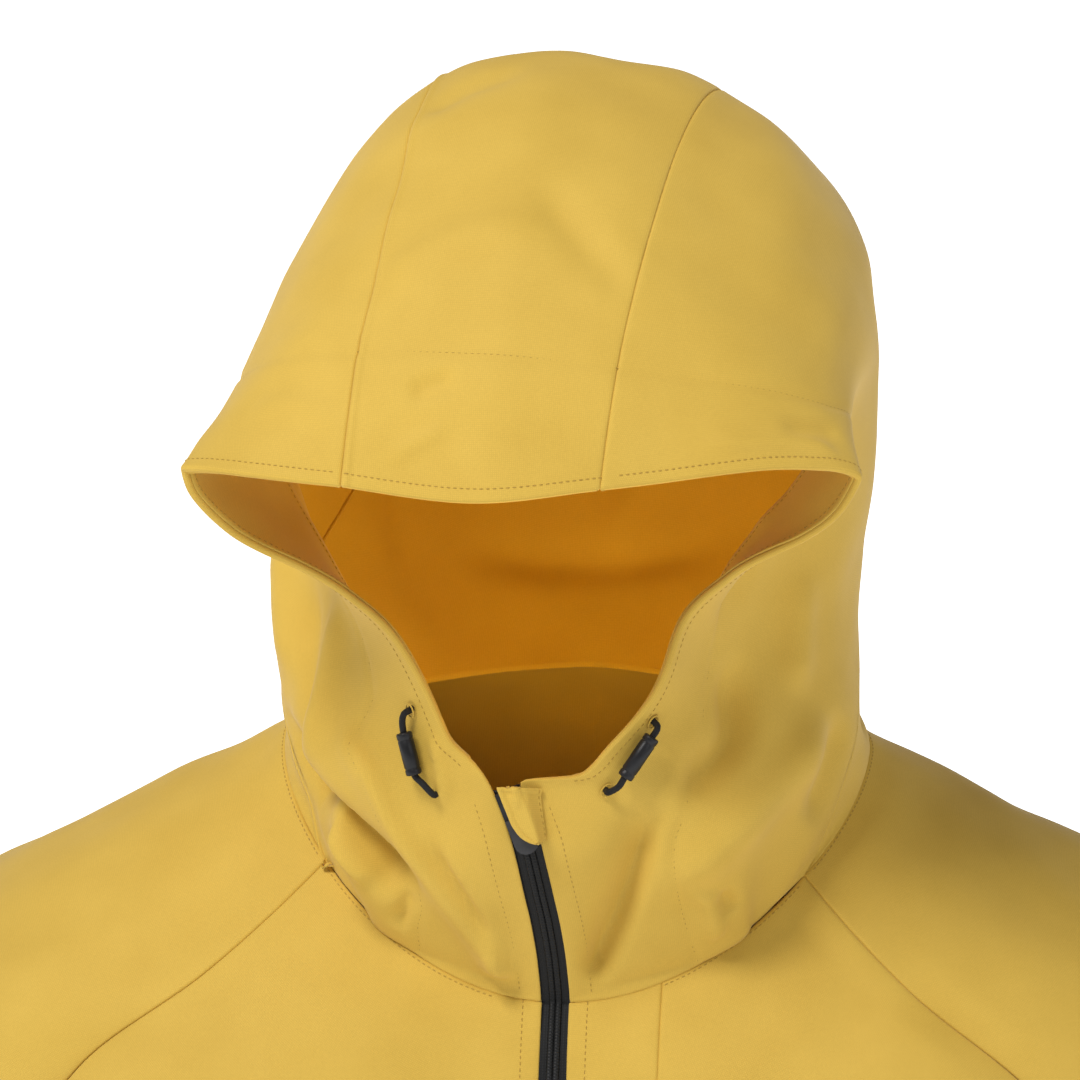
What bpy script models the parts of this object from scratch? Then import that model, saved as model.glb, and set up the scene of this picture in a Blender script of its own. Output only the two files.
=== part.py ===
"""Hooded half-zip anorak pullover, hood up, filled out with no wearer in it.

Row frame: origin at the middle of the neck seam at shoulder height, +Z up, the front faces -Y,
+X is the wearer's left. Tables are in millimetres; MM turns them into Blender's metres.
"""

import math

import bpy
import numpy as np
from mathutils import Matrix, Vector

MM = 0.001

# Cloth and seams
CLOTH = 1.2            # wall of the shell fabric
FACING_CLOTH = 1.0     # wall of the hood's facing
SEAM_INSET = 0.25      # each panel stops this far short of its seam line
NECK_INSET = 1.3       # the body stops this far from the neck seam, clear of the hood's foot
ARMPIT_INSET = 1.3     # and this far at the armpit, where body and sleeve meet at an angle
NAPE_INSET = 1.0       # the hood's side and centre panels keep this far from their seam's lower end
LAYER_GAP = 0.3        # air between layers that lie on each other

# Neck seam: a ring that dips at the front
NECK_HALF_WIDTH = 117.0
NECK_FRONT_Y, NECK_SIDE_Y, NECK_BACK_Y = -97.0, 5.0, 80.0
NECK_SIDE_Z = -2.0
NECK_FRONT_DROP, NECK_FRONT_DIP = 25.0, 46.0   # linear and square parts of the fall to the front
NECK_BACK_RISE = 8.0
NECK_BACK_TAPER = 1.5
RAGLAN_FRONT_DEG, RAGLAN_BACK_DEG = 53.5, 130.0   # where the sleeve seams meet the neck seam

# Zip
ZIP_HALF_GAP = 6.0     # half of the strip of zip that shows
TAPE_UNDER = 7.0       # how far the tape runs on under the cloth
TAPE_THICK = 0.8
TAPE_SPLIT = 1.7       # half of the gap between the tapes inside the slider
TAPE_GAP = 0.55        # air between tape and cloth
COIL_WIDTH = 4.6
COIL_THICK = 1.5
SLIDER_SHARE = 0.36    # its place between the top two of ZIP_ROWS_U
CHEST_SEAM_X = 41.0    # upright seam on the wearer's left chest

# Slider and pull tab, in the slider's own axes: x across the zip, y inwards, z up the zip
SLIDER_PLATE = (9.6, 1.1, 11.0)
SLIDER_FRONT_Y, SLIDER_BACK_Y = -1.7, 3.3        # middles of its two plates
SLIDER_POST = (2.0, 5.4, 2.6)
BRIDGE_WIDTH, BRIDGE_BAR, BRIDGE_LENGTH, BRIDGE_RISE = 2.2, 1.0, 8.6, 2.6
PULL_AXIS_Y, PULL_AXIS_Z = -3.0, 0.7
PULL_WIDTH, PULL_THICK, PULL_LENGTH = 9.2, 1.4, 20.7
PULL_SWING_DEG = 7.0

# Chin guard over the zip's top, in the slider's axes
ZIP_MM_PER_U = 490.0   # length of the zip on the hood, per unit of u
GUARD_COLUMNS = ("z", "left", "right")
GUARD = ((9, -2, 15), (4, -2, 13), (-1, -2, 11.5), (-6, -2, 10), (-10, -1, 9), (-12.5, 1, 8.4), (-14, 5, 8))
GUARD_CLOTH = 1.0
GUARD_FREE = 5.6       # from here to its right edge it comes down onto the hood
GUARD_LIFT = 6.6       # how far its free side stands off, over the slider

# Drawcords: short loops between two slits on each side of the opening
CORD_RADIUS = 1.3
BARREL_RADIUS = 3.1
BARREL_LIFT = 4.4
CORD_COLUMNS = ("u", "v", "lift")
CORD_LEFT = (
    (0.366, 0.030, 1.5), (0.366, 0.030, 2.7), (0.362, 0.031, 4.0),
    (0.355, 0.031, BARREL_LIFT), (0.299, 0.038, BARREL_LIFT),
    (0.286, 0.041, 4.0), (0.271, 0.045, 2.7), (0.271, 0.045, 1.5),
)
CORD_RIGHT = (
    (1.634, 0.021, 1.5), (1.634, 0.021, 2.7), (1.643, 0.025, 4.0),
    (1.657, 0.028, BARREL_LIFT), (1.727, 0.040, BARREL_LIFT),
    (1.740, 0.038, 4.0), (1.756, 0.035, 2.7), (1.756, 0.035, 1.5),
)
CORD_BARREL_ROWS = (3, 4)    # the barrel sits between these rows

# The hood's front edge in place: up the zip, round the opening and down the zip again.
# u runs 0..1 up the wearer's left to the middle of the brim, then 1..2 down the wearer's right.
OPENING_COLUMNS = ("u", "x", "y", "z")
OPENING = (
    (0.05, 5, -100, -56), (0.10, 3, -104, -39), (0.15, 0, -108, -22), (0.20, -4, -112, -1),
    (0.25, -12, -110, 22), (0.29, 11, -108, 25), (0.33, 22, -106, 36), (0.38, 37, -103, 53),
    (0.46, 52, -98, 88), (0.52, 68, -98, 103), (0.58, 94, -100, 118), (0.64, 109, -103, 132),
    (0.68, 115, -106, 145), (0.75, 102, -115, 152), (0.82, 76, -128, 155), (0.915, 20, -142, 150),
    (1.00, -28, -146, 145), (1.085, -76, -140, 148), (1.24, -128, -126, 148), (1.32, -138, -120, 147),
    (1.36, -136, -118, 138), (1.42, -122, -110, 120), (1.48, -96, -103, 102), (1.54, -70, -100, 82),
    (1.58, -58, -102, 67), (1.67, -41, -106, 37), (1.75, -25, -110, 22), (1.80, -16, -112, -1),
    (1.85, -12, -108, -22), (1.90, -9, -104, -39), (1.95, -7, -100, -56),
)

# The rest of the hood as arcs, from behind the opening to the nape. An arc starts on the neck seam at
# phi degrees from the front, climbs through collar, cheek and wide, then runs over the top as a
# quarter of an ellipse.
HOOD_COLUMNS = ("v", "phi", "collar", "cheek", "wide", "top_y", "top_z")
HOOD_ARCS = (
    (0.108, 29.0, (64, -97, 8), (72, -66, 66), (118, -62, 158), -122, 195),
    (0.279, 40.0, (90, -70, 8), (103, -26, 68), (117, -12, 163), -50, 253),
    (0.432, 46.0, (105, -43, 14), (115, 0, 69), (117, 28, 156), 36, 272),
    (0.561, 49.5, (111, -28, 18), (117, 16, 65), (113, 58, 138), 96, 236),
    (0.676, 51.5, (114, -17, 18), (116, 27, 55), (106, 80, 112), 125, 180),
    (0.790, 52.6, (115, -10, 12), (114, 34, 42), (97, 88, 80), 130, 116),
    (0.900, 53.2, (116, -6, 4), (110, 37, 27), (88, 80, 45), 113, 56),
)
HOOD_U = {"collar": 0.25, "cheek": 0.46, "wide": 0.68}   # where these lie along an arc
NECK_RING_DEG = {"collar": 85.0, "cheek": 113.0, "wide": 140.0}   # and on the neck seam, the last arc
QUARTER_STEPS = 5

# Seam between the hood's side and its centre panel, in the arcs' own (u, v). neck_v is where the
# side panel's row that ends there starts on the neck seam.
HOOD_SEAM_COLUMNS = ("share", "u", "v", "neck_v")
HOOD_SEAM = (
    (0.00, 0.915, 0.000, 0.000), (0.28, 0.908, 0.280, 0.280), (0.56, 0.895, 0.560, 0.500),
    (0.70, 0.875, 0.700, 0.560), (0.78, 0.800, 0.770, 0.600), (0.85, 0.620, 0.765, 0.620),
    (0.91, 0.400, 0.730, 0.640), (0.95, 0.220, 0.700, 0.660), (0.98, 0.100, 0.740, 0.720),
    (1.00, 0.000, 1.000, 1.000),
)
FACING_V = 0.108       # the facing reaches this far back from the opening
FACING_GAP = 1.8       # air between facing and hood, where the cloth curls
FACING_START_V = 0.006
FACING_START_ZIP_V = 0.024   # beside the zip it starts behind the tape

# The empty hood turns and sways to the wearer's right, and its centre panel has slipped that way.
HOOD_TURN_DEG = 6.5
HOOD_TURN_Y = 20.0
HOOD_RISE = 95.0       # the turn is complete this far above the neck seam
HOOD_SWAY_COLUMNS = ("z", "shift_x")
HOOD_SWAY = ((-75, 0), (20, -7), (85, -3), (150, 0), (200, 5), (281, 7))
HOOD_SLIP = 15.0

# Raglan seams from neck seam to armpit, and the centre lines of front and back
ARMPIT = (232, 0, -252)
RAGLAN_FRONT = ((138, -84, -70), (187, -98, -106), (216, -89, -160), (229, -52, -217), ARMPIT)
RAGLAN_BACK = ((117, 82, -36), (160, 101, -84), (200, 98, -146), (224, 58, -212), ARMPIT)
FRONT_CENTRE = ((-113, -100), (-127, -140), (-134, -190), (-135, -252))   # y, z below the neck seam
BACK_CENTRE = ((103, -24), (118, -80), (122, -150), (118, -252))

# Torso rings from the armpit down
TORSO_COLUMNS = ("z", "half_width", "front_y", "back_y")
TORSO = (
    (-252, 232, -135, 118),
    (-330, 230, -134, 112),
    (-430, 223, -128, 101),
    (-530, 224, -128, 104),
    (-610, 229, -128, 111),
    (-662, 228, -126, 111),
)
TORSO_SIDE_Y = 0.0
TORSO_BOXY = 2.5

# Sleeve rings along the arm, from the armpit to the cuff
SLEEVE_COLUMNS = ("along", "half_width", "half_depth", "forward")
SLEEVE = (
    (0, 69, 74, 0),
    (90, 65, 69, 0),
    (230, 58, 61, -6),
    (360, 51, 54, -18),
    (470, 45, 47, -32),
    (520, 43, 45, -40),
)
ARM_TILT_DEG = 22.0    # from upright
SHOULDER = ((140, 10, -18), (175, 12, -35), (215, 12, -55), (262, 10, -81), (303, 5, -116), (337, 2, -157))
ARMPIT_EASE = 1.6      # how far the sleeve stands off the body at the armpit

# How finely the panels are divided
HOOD_ROWS = (0, 0.036, 0.072, 0.108, 0.19, 0.28, 0.36, 0.44, 0.52, 0.60, 0.66, 0.72, 0.78, 0.83, 0.88, 0.92, 0.95, 0.98, 1)
FACING_ROWS = 4        # of the hood's own rows
GUARD_COLUMNS_ACROSS = 6
ZIP_ROWS_U = (0.25, 0.222, 0.18, 0.12, 0.06, 0.0)   # of the hood's own columns
SIDE_COLUMNS = np.array((0, 0.06, 0.12, 0.18, 0.222, 0.25, 0.29, 0.36, 0.46, 0.57, 0.64, 0.68, 0.73, 0.79, 0.86, 0.915)) / 0.915
CENTRE_COLUMNS = 7     # each side of the middle
RAGLAN_ROWS = 9
TORSO_ROWS = 8
FRONT_COLUMNS = 6
BACK_COLUMNS = 6
SLEEVE_AROUND = 14
SLEEVE_ROWS = 8
ZIP_FOOT_ROW = RAGLAN_ROWS + 1   # the zip ends on this row of the front


# ---------------------------------------------------------------- curves

def lerp(a, b, t):
    return a + (b - a) * t


def smooth(t):
    t = np.clip(t, 0, 1)
    return t * t * (3 - 2 * t)


def akima(knots, values, at):
    """A smooth curve through values at knots that doesn't swing past its points."""
    knots, values, at = np.asarray(knots, float), np.asarray(values, float), np.asarray(at, float)
    slope = np.diff(values, axis=0) / np.diff(knots)[:, None]
    ends = [2 * slope[0] - slope[1], *slope, 2 * slope[-1] - slope[-2]]
    slope = np.array([2 * ends[0] - ends[1], *ends, 2 * ends[-1] - ends[-2]])
    change = np.abs(np.diff(slope, axis=0)) + 0.5 * np.abs(slope[1:] + slope[:-1])
    before, after = change[2:] + 1e-9, change[:-2] + 1e-9
    tangent = (before * slope[1:-2] + after * slope[2:-1]) / (before + after)
    i = np.clip(np.searchsorted(knots, at, "right") - 1, 0, len(knots) - 2)
    width = (knots[i + 1] - knots[i])[:, None]
    t = ((at - knots[i])[:, None]) / width
    return (
        (1 + 2 * t) * (1 - t) ** 2 * values[i] + t * (1 - t) ** 2 * width * tangent[i]
        + t * t * (3 - 2 * t) * values[i + 1] - t * t * (1 - t) * width * tangent[i + 1]
    )


def spline_weights(knots, at):
    """Weights of each knot's value in the natural cubic spline at the places in at."""
    knots, at = np.asarray(knots, float), np.asarray(at, float)
    n, h = len(knots), np.diff(knots)
    left, right = np.eye(n), np.zeros((n, n))
    for k in range(1, n - 1):
        left[k, k - 1:k + 2] = h[k - 1], 2 * (h[k - 1] + h[k]), h[k]
        right[k, k - 1:k + 2] = 6 / h[k - 1], -6 / h[k - 1] - 6 / h[k], 6 / h[k]
    second = np.linalg.solve(left, right)
    i = np.clip(np.searchsorted(knots, at, "right") - 1, 0, n - 2)
    a, b = (knots[i + 1] - at) / h[i], (at - knots[i]) / h[i]
    return (
        a[:, None] * np.eye(n)[i] + b[:, None] * np.eye(n)[i + 1]
        + ((a**3 - a) * h[i] ** 2 / 6)[:, None] * second[i]
        + ((b**3 - b) * h[i] ** 2 / 6)[:, None] * second[i + 1]
    )


def along_points(points, at):
    """A smooth curve through points, by share of its length."""
    points = np.asarray(points, float)
    knots = np.concatenate([[0], np.cumsum(np.linalg.norm(np.diff(points, axis=0), axis=1))])
    return akima(knots / knots[-1], points, at)


def mirror(points):
    return points * (-1, 1, 1)


# ---------------------------------------------------------------- neck seam and hood

def neck_seam(degrees):
    """Points of the neck seam, by angle from the front centre towards the wearer's left."""
    a = np.radians(np.asarray(degrees, float))
    c = np.cos(a)
    front = c > 0
    x = NECK_HALF_WIDTH * np.clip(np.sin(a), 0, 1) ** np.where(front, 1, NECK_BACK_TAPER)
    y = NECK_SIDE_Y + np.where(front, NECK_FRONT_Y - NECK_SIDE_Y, NECK_SIDE_Y - NECK_BACK_Y) * c
    z = np.where(front, -NECK_FRONT_DROP * c - NECK_FRONT_DIP * c * c,
                 NECK_BACK_RISE * (0.5 * np.tanh(-6 * c) + 0.5 * c * c))
    return np.stack([x, y, NECK_SIDE_Z + z], axis=-1)


def hood_arc(arc, u):
    """One arc of the hood at the shares u of its course, on the wearer's left."""
    row = dict(zip(HOOD_COLUMNS, arc))
    knots = [0, *HOOD_U.values()]
    points = [neck_seam(row["phi"]), row["collar"], row["cheek"], row["wide"]]
    wide, top = np.array(row["wide"], float), np.array((0, row["top_y"], row["top_z"]), float)
    for step in range(1, QUARTER_STEPS + 1):
        angle = math.pi / 2 * step / QUARTER_STEPS
        knots.append(lerp(HOOD_U["wide"], 1, step / QUARTER_STEPS))
        points.append((wide[0] * math.cos(angle), *lerp(wide[1:], top[1:], math.sin(angle))))
    # One mirrored point past the top keeps the middle smooth.
    knots.append(2 - knots[-2])
    points.append(np.array(points[-2]) * (-1, 1, 1))
    return akima(knots, points, u)


def neck_arc(u):
    """The hood's last arc: the back of the neck seam."""
    degrees = [RAGLAN_FRONT_DEG, *NECK_RING_DEG.values(), 180]
    return neck_seam(akima([0, *HOOD_U.values(), 1], np.array(degrees)[:, None], u)[:, 0])


def front_edge(u):
    """The hood's front edge at u from 0 to 2."""
    start = neck_seam(math.degrees(math.asin(ZIP_HALF_GAP / NECK_HALF_WIDTH)))
    table = np.array([(0, *start), *OPENING, (2, *(start * (-1, 1, 1)))], float)
    return akima(table[:, 0], table[:, 1:], u)


def turned(points):
    """Turns, sways and slips hood points, more the higher they are above the neck seam."""
    around = np.degrees(np.arctan2(points[..., 0] / NECK_HALF_WIDTH, (NECK_SIDE_Y - points[..., 1]) / 90))
    share = smooth((points[..., 2] - neck_seam(np.abs(around))[..., 2]) / HOOD_RISE)
    sway = np.array(HOOD_SWAY, float)
    angle = np.radians(HOOD_TURN_DEG) * share
    x, y, z = points[..., 0], points[..., 1] - HOOD_TURN_Y, points[..., 2]
    shift = share * akima(sway[:, 0], sway[:, 1:], np.clip(z, sway[0, 0], sway[-1, 0]))[:, 0]
    slip = HOOD_SLIP * smooth((z - 90) / 60) * np.clip(1 - (x / NECK_HALF_WIDTH) ** 2, 0, 1)
    return np.stack([x * np.cos(angle) + y * np.sin(angle) + shift - slip,
                     y * np.cos(angle) - x * np.sin(angle) + HOOD_TURN_Y, z], axis=-1)


def hood_points(u, v):
    """Hood surface at arrays u, v of one shape. u runs 0..1 up the wearer's left, 1..2 down the right."""
    u, v = np.broadcast_arrays(np.asarray(u, float), np.asarray(v, float))
    flat_u, flat_v = u.ravel(), v.ravel()
    own = np.where(flat_u > 1, 2 - flat_u, flat_u)
    side = np.where(flat_u > 1, -1, 1)[:, None] * np.array((1, 0, 0)) + np.array((0, 1, 1))
    arcs = [front_edge(flat_u), *[turned(hood_arc(arc, own) * side) for arc in HOOD_ARCS], neck_arc(own) * side]
    knots = [0, *[arc[0] for arc in HOOD_ARCS], 1]
    points = np.einsum("nk,knc->nc", spline_weights(knots, flat_v), np.array(arcs))
    # The foot of every arc stays on the neck seam.
    start = math.degrees(math.asin(ZIP_HALF_GAP / NECK_HALF_WIDTH))
    degrees = np.array([start, *[arc[1] for arc in HOOD_ARCS], RAGLAN_FRONT_DEG])[:, None]
    foot = own < 1e-9
    points[foot] = (neck_seam(akima(knots, degrees, flat_v)[:, 0]) * side)[foot]
    return points.reshape(*u.shape, 3)


def hood_seam(share):
    """u, v and neck_v of the panel seam at the shares of its course."""
    table = np.array(HOOD_SEAM, float)
    return akima(table[:, 0], table[:, 1:], share).T


def hood_side_uv(rows, columns):
    """(u, v) grids of a hood side: rows from the opening back, columns from neck seam to panel seam."""
    seam_u, seam_v, neck_v = hood_seam(rows)
    return seam_u[:, None] * columns, neck_v[:, None] + (seam_v - neck_v)[:, None] * columns


def hood_centre_uv(rows, columns):
    """(u, v) grids of the centre panel: columns run from -1 at the left seam to 1 at the right seam."""
    seam_u, seam_v, _ = hood_seam(rows)
    reach = np.abs(columns)
    u = 1 + np.sign(columns) * (1 - seam_u)[:, None] * reach
    return u, rows[:, None] + (seam_v - rows)[:, None] * reach


# ---------------------------------------------------------------- body and sleeves

def coons(top, bottom, left, right):
    """A surface between four edges, rows from top to bottom, columns from left to right."""
    s = np.linspace(0, 1, len(left))[:, None, None]
    t = np.linspace(0, 1, len(top))[None, :, None]
    corners = (1 - s) * ((1 - t) * top[0] + t * top[-1]) + s * ((1 - t) * bottom[0] + t * bottom[-1])
    return (1 - s) * top + s * bottom + (1 - t) * left[:, None] + t * right[:, None] - corners


def torso_ring(z, turn, side):
    """Torso points at height z. turn is 0 at the centre line and 1 at the side seam."""
    table = np.array(TORSO, float)
    _, half_width, front_y, back_y = akima(-table[:, 0], table, [-z])[0]
    depth = front_y if side == "front" else back_y
    start = math.asin(ZIP_HALF_GAP / half_width) if side == "front" else 0
    a = lerp(start, math.pi / 2, turn)
    across = half_width * np.sin(a)
    out = TORSO_SIDE_Y + (depth - TORSO_SIDE_Y) * np.clip(np.cos(a), 0, 1) ** (2 / TORSO_BOXY)
    return np.stack([across, out, np.full_like(across, z)], axis=-1)


def raglan(side, rows):
    table = RAGLAN_FRONT if side == "front" else RAGLAN_BACK
    degrees = RAGLAN_FRONT_DEG if side == "front" else RAGLAN_BACK_DEG
    return along_points([neck_seam(degrees), *table], rows)


def body_half(side, raglan_rows, torso_rows, turn):
    """Front or back on the wearer's left: rows from neck seam to hem, columns from centre to edge."""
    rows = np.linspace(0, 1, raglan_rows + 1)
    if side == "front":
        start = math.degrees(math.asin(ZIP_HALF_GAP / NECK_HALF_WIDTH))
        top = neck_seam(lerp(start, RAGLAN_FRONT_DEG, turn))
        centre = [(ZIP_HALF_GAP, y, z) for y, z in FRONT_CENTRE]
    else:
        top = neck_seam(lerp(180, RAGLAN_BACK_DEG, turn))
        centre = [(0, y, z) for y, z in BACK_CENTRE]
    left = along_points([top[0], *centre], rows)
    bottom = torso_ring(TORSO[0][0], turn, side)
    left[-1] = bottom[0]
    upper = coons(top, bottom, left, raglan(side, rows))
    heights = np.linspace(TORSO[0][0], TORSO[-1][0], torso_rows + 1)[1:]
    lower = np.array([torso_ring(z, turn, side) for z in heights])
    return np.vstack([upper, lower])


def at_x(points, x):
    """The point of each row of a grid where it crosses x."""
    return np.array([[np.interp(x, row[:, 0], row[:, k]) for k in range(3)] for row in points])


def sleeve_ring(along, turn):
    """Sleeve points at a distance along the arm. turn 0 and 1 are the underarm, 0.5 is outermost."""
    table = np.array(SLEEVE, float)
    _, half_width, half_depth, forward = akima(table[:, 0], table, [along])[0]
    tilt = math.radians(ARM_TILT_DEG)
    outward = np.array((math.cos(tilt), 0, math.sin(tilt)))
    down = np.array((math.sin(tilt), 0, -math.cos(tilt)))
    centre = ARMPIT + outward * (SLEEVE[0][1] + ARMPIT_EASE) + down * along + np.array((0, forward, 0))
    a = 2 * math.pi * turn
    return (centre - np.cos(a)[:, None] * half_width * outward
            - np.sin(a)[:, None] * half_depth * np.array((0, 1, 0)))


def sleeve_points(raglan_rows, sleeve_rows, turn):
    """Sleeve on the wearer's left: rows from neck seam to cuff, columns from front round to back."""
    rows = np.linspace(0, 1, raglan_rows + 1)
    top = neck_seam(lerp(RAGLAN_FRONT_DEG, RAGLAN_BACK_DEG, turn))
    ease = (sleeve_ring(0, np.array([0.0]))[0] - ARMPIT) * rows[:, None] ** 6
    upper = coons(top, sleeve_ring(0, turn), raglan("front", rows) + ease, raglan("back", rows) + ease)
    middle = sleeve_ring(0, np.array([0.5]))[0]
    shoulder = along_points([neck_seam((RAGLAN_FRONT_DEG + RAGLAN_BACK_DEG) / 2), *SHOULDER, middle], rows)
    chord = np.array([[np.interp(0.5, turn, row[:, k]) for k in range(3)] for row in upper])
    upper = upper + (shoulder - chord)[:, None] * np.sin(math.pi * turn)[:, None] ** 2
    distances = np.linspace(0, SLEEVE[-1][0], sleeve_rows + 1)[1:]
    return np.vstack([upper, np.array([sleeve_ring(d, turn) for d in distances])])


# ---------------------------------------------------------------- zip

def zip_surface(u, x):
    """Point of the hood's surface at the zip, x across from the zip's middle at the share u."""
    left, right = hood_points([2 - u, u], [0, 0])
    half = np.linalg.norm(right - left) / 2
    if abs(x) <= half:
        return (left + right) / 2 + (right - left) / 2 * x / half
    edge, inner = hood_points([u if x > 0 else 2 - u] * 2, [0, HOOD_ROWS[1]])
    return lerp(edge, inner, (abs(x) - half) / np.linalg.norm(inner - edge))


def zip_frame():
    """Place and axes of the slider: across, inwards, up the zip."""
    top, lower = ZIP_ROWS_U[:2]
    middle = lerp(zip_surface(lower, 0), zip_surface(top, 0), SLIDER_SHARE)
    across = zip_surface(lower, 1) - zip_surface(lower, -1)
    up = zip_surface(top, 0) - zip_surface(lower, 0)
    up /= np.linalg.norm(up)
    across -= up * (across @ up)
    across /= np.linalg.norm(across)
    return middle, across, np.cross(up, across), up


def zip_strip(front, places):
    """Grid of the cloth surface along the zip, from its top to its foot, at places across from -x to x."""
    hood = [[zip_surface(u, x) for x in places] for u in ZIP_ROWS_U]
    rows = front[1:ZIP_FOOT_ROW + 1]
    edge = at_x(rows, ZIP_HALF_GAP)
    body = []
    for x in places:
        column = at_x(rows, abs(x)) if abs(x) > ZIP_HALF_GAP else edge * (0, 1, 1) + (abs(x), 0, 0)
        body.append(column * (math.copysign(1, x), 1, 1))
    top, lower = np.array(hood[0]), np.array(hood[1])
    strip = np.vstack([[lerp(lower, top, 0.93), lerp(lower, top, 0.5)], hood[1:], np.stack(body, axis=1)])
    strip[-1] = lerp(strip[-1], strip[-2], 0.04)
    return strip


def offset(points, distance):
    """Moves a grid of points along its normals. Positive is to the side where rows x columns point."""
    down = np.gradient(points, axis=0)
    along = np.gradient(points, axis=1)
    normal = np.cross(down, along)
    length = np.linalg.norm(normal, axis=-1, keepdims=True)
    return points + normal / np.maximum(length, 1e-9) * distance


# ---------------------------------------------------------------- Blender objects

def material(name, colour, roughness, metallic=0.0):
    made = bpy.data.materials.new(name)
    made.use_nodes = True
    shader = made.node_tree.nodes["Principled BSDF"]
    shader.inputs["Base Color"].default_value = (*colour, 1)
    shader.inputs["Roughness"].default_value = roughness
    shader.inputs["Metallic"].default_value = metallic
    made.diffuse_color = (*colour, 1)
    return made


def add_object(name, data, collection, finish):
    obj = bpy.data.objects.new(name, data)
    data.materials.append(finish)
    collection.objects.link(obj)
    return obj


def inset_edges(points, edges, distance):
    """Draws the named edges of a grid back along the surface, so that panels clear each other."""
    points = points.copy()
    pairs = {"top": (np.s_[0], np.s_[1]), "bottom": (np.s_[-1], np.s_[-2]),
             "left": (np.s_[:, 0], np.s_[:, 1]), "right": (np.s_[:, -1], np.s_[:, -2])}
    for edge in edges:
        outer, inner = pairs[edge]
        step = points[inner] - points[outer]
        run = np.gradient(points[outer], axis=0)
        run /= np.maximum(np.linalg.norm(run, axis=-1, keepdims=True), 1e-9)
        square = step - run * np.sum(step * run, axis=-1, keepdims=True)
        length = np.linalg.norm(square, axis=-1, keepdims=True)
        far = np.broadcast_to(np.asarray(distance, float).reshape(-1, 1), length.shape)
        points[outer] += square / np.maximum(length, 1e-6) * np.minimum(far, length / 2)
    return points


def surface(points, without=lambda row, column: False, like=None):
    """An open mesh over a grid of points. Each cell is split along its shorter diagonal, or that of like."""
    like = points if like is None else like
    rows, columns = points.shape[:2]
    faces = []
    for r in range(rows - 1):
        for c in range(columns - 1):
            if without(r, c):
                continue
            a, b = r * columns + c, (r + 1) * columns + c
            falling = np.linalg.norm(like[r, c] - like[r + 1, c + 1])
            rising = np.linalg.norm(like[r, c + 1] - like[r + 1, c])
            if falling <= rising:
                faces += [(a, a + 1, b + 1), (a, b + 1, b)]
            else:
                faces += [(a, a + 1, b), (a + 1, b + 1, b)]
    mesh = bpy.data.meshes.new("surface")
    mesh.from_pydata((points.reshape(-1, 3) * MM).tolist(), [], faces)
    return mesh


def cloth(name, mesh, collection, finish, thickness=CLOTH, offset=0.0):
    """A panel: an open surface given its thickness by Solidify."""
    obj = add_object(name, mesh, collection, finish)
    weld = obj.modifiers.new("weld corners", "WELD")
    weld.merge_threshold = 0.02 * MM
    wall = obj.modifiers.new("thickness", "SOLIDIFY")
    wall.thickness = thickness * MM
    wall.offset = offset
    mesh.shade_smooth()
    return obj


def block(name, size, centre, collection):
    """A box used in making the slider and its pull."""
    x, y, z = (np.array(size) / 2 * MM).tolist()
    corners = [(i * x, j * y, k * z) for i in (-1, 1) for j in (-1, 1) for k in (-1, 1)]
    faces = [(0, 1, 3, 2), (4, 6, 7, 5), (0, 4, 5, 1), (2, 3, 7, 6), (0, 2, 6, 4), (1, 5, 7, 3)]
    mesh = bpy.data.meshes.new(name)
    mesh.from_pydata(corners, [], faces)
    mesh.transform(Matrix.Translation(Vector(centre) * MM))
    obj = bpy.data.objects.new(name, mesh)
    collection.objects.link(obj)
    return obj


def tool(obj):
    obj.hide_render = True
    obj.display_type = "WIRE"
    return obj


def boolean(obj, other, operation):
    cut = obj.modifiers.new(other.name, "BOOLEAN")
    cut.operation = operation
    cut.solver = "EXACT"
    cut.object = other


def rounded_plate(name, width, thick, bottom, top, corner, collection):
    """An upright plate with rounded lower corners, flat faces towards y."""
    outline = [(-width / 2, top), (-width / 2, bottom + corner)]
    for step in range(1, 5):
        angle = math.pi + math.pi / 2 * step / 4
        outline.append((-width / 2 + corner + corner * math.cos(angle), bottom + corner + corner * math.sin(angle)))
    outline += [(-x, z) for x, z in outline[::-1]]
    count = len(outline)
    points = [(x * MM, y * thick / 2 * MM, z * MM) for y in (-1, 1) for x, z in outline]
    faces = [tuple(range(count)), tuple(range(2 * count - 1, count - 1, -1))]
    faces += [(k, k + count, (k + 1) % count + count, (k + 1) % count) for k in range(count)]
    mesh = bpy.data.meshes.new(name)
    mesh.from_pydata(points, [], faces)
    obj = bpy.data.objects.new(name, mesh)
    collection.objects.link(obj)
    return obj


def place(obj, matrix):
    """Puts a made piece at its place, its modifiers' tools with it."""
    obj.matrix_world = matrix
    for modifier in obj.modifiers:
        if modifier.type == "BOOLEAN":
            modifier.object.matrix_world = matrix


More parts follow.
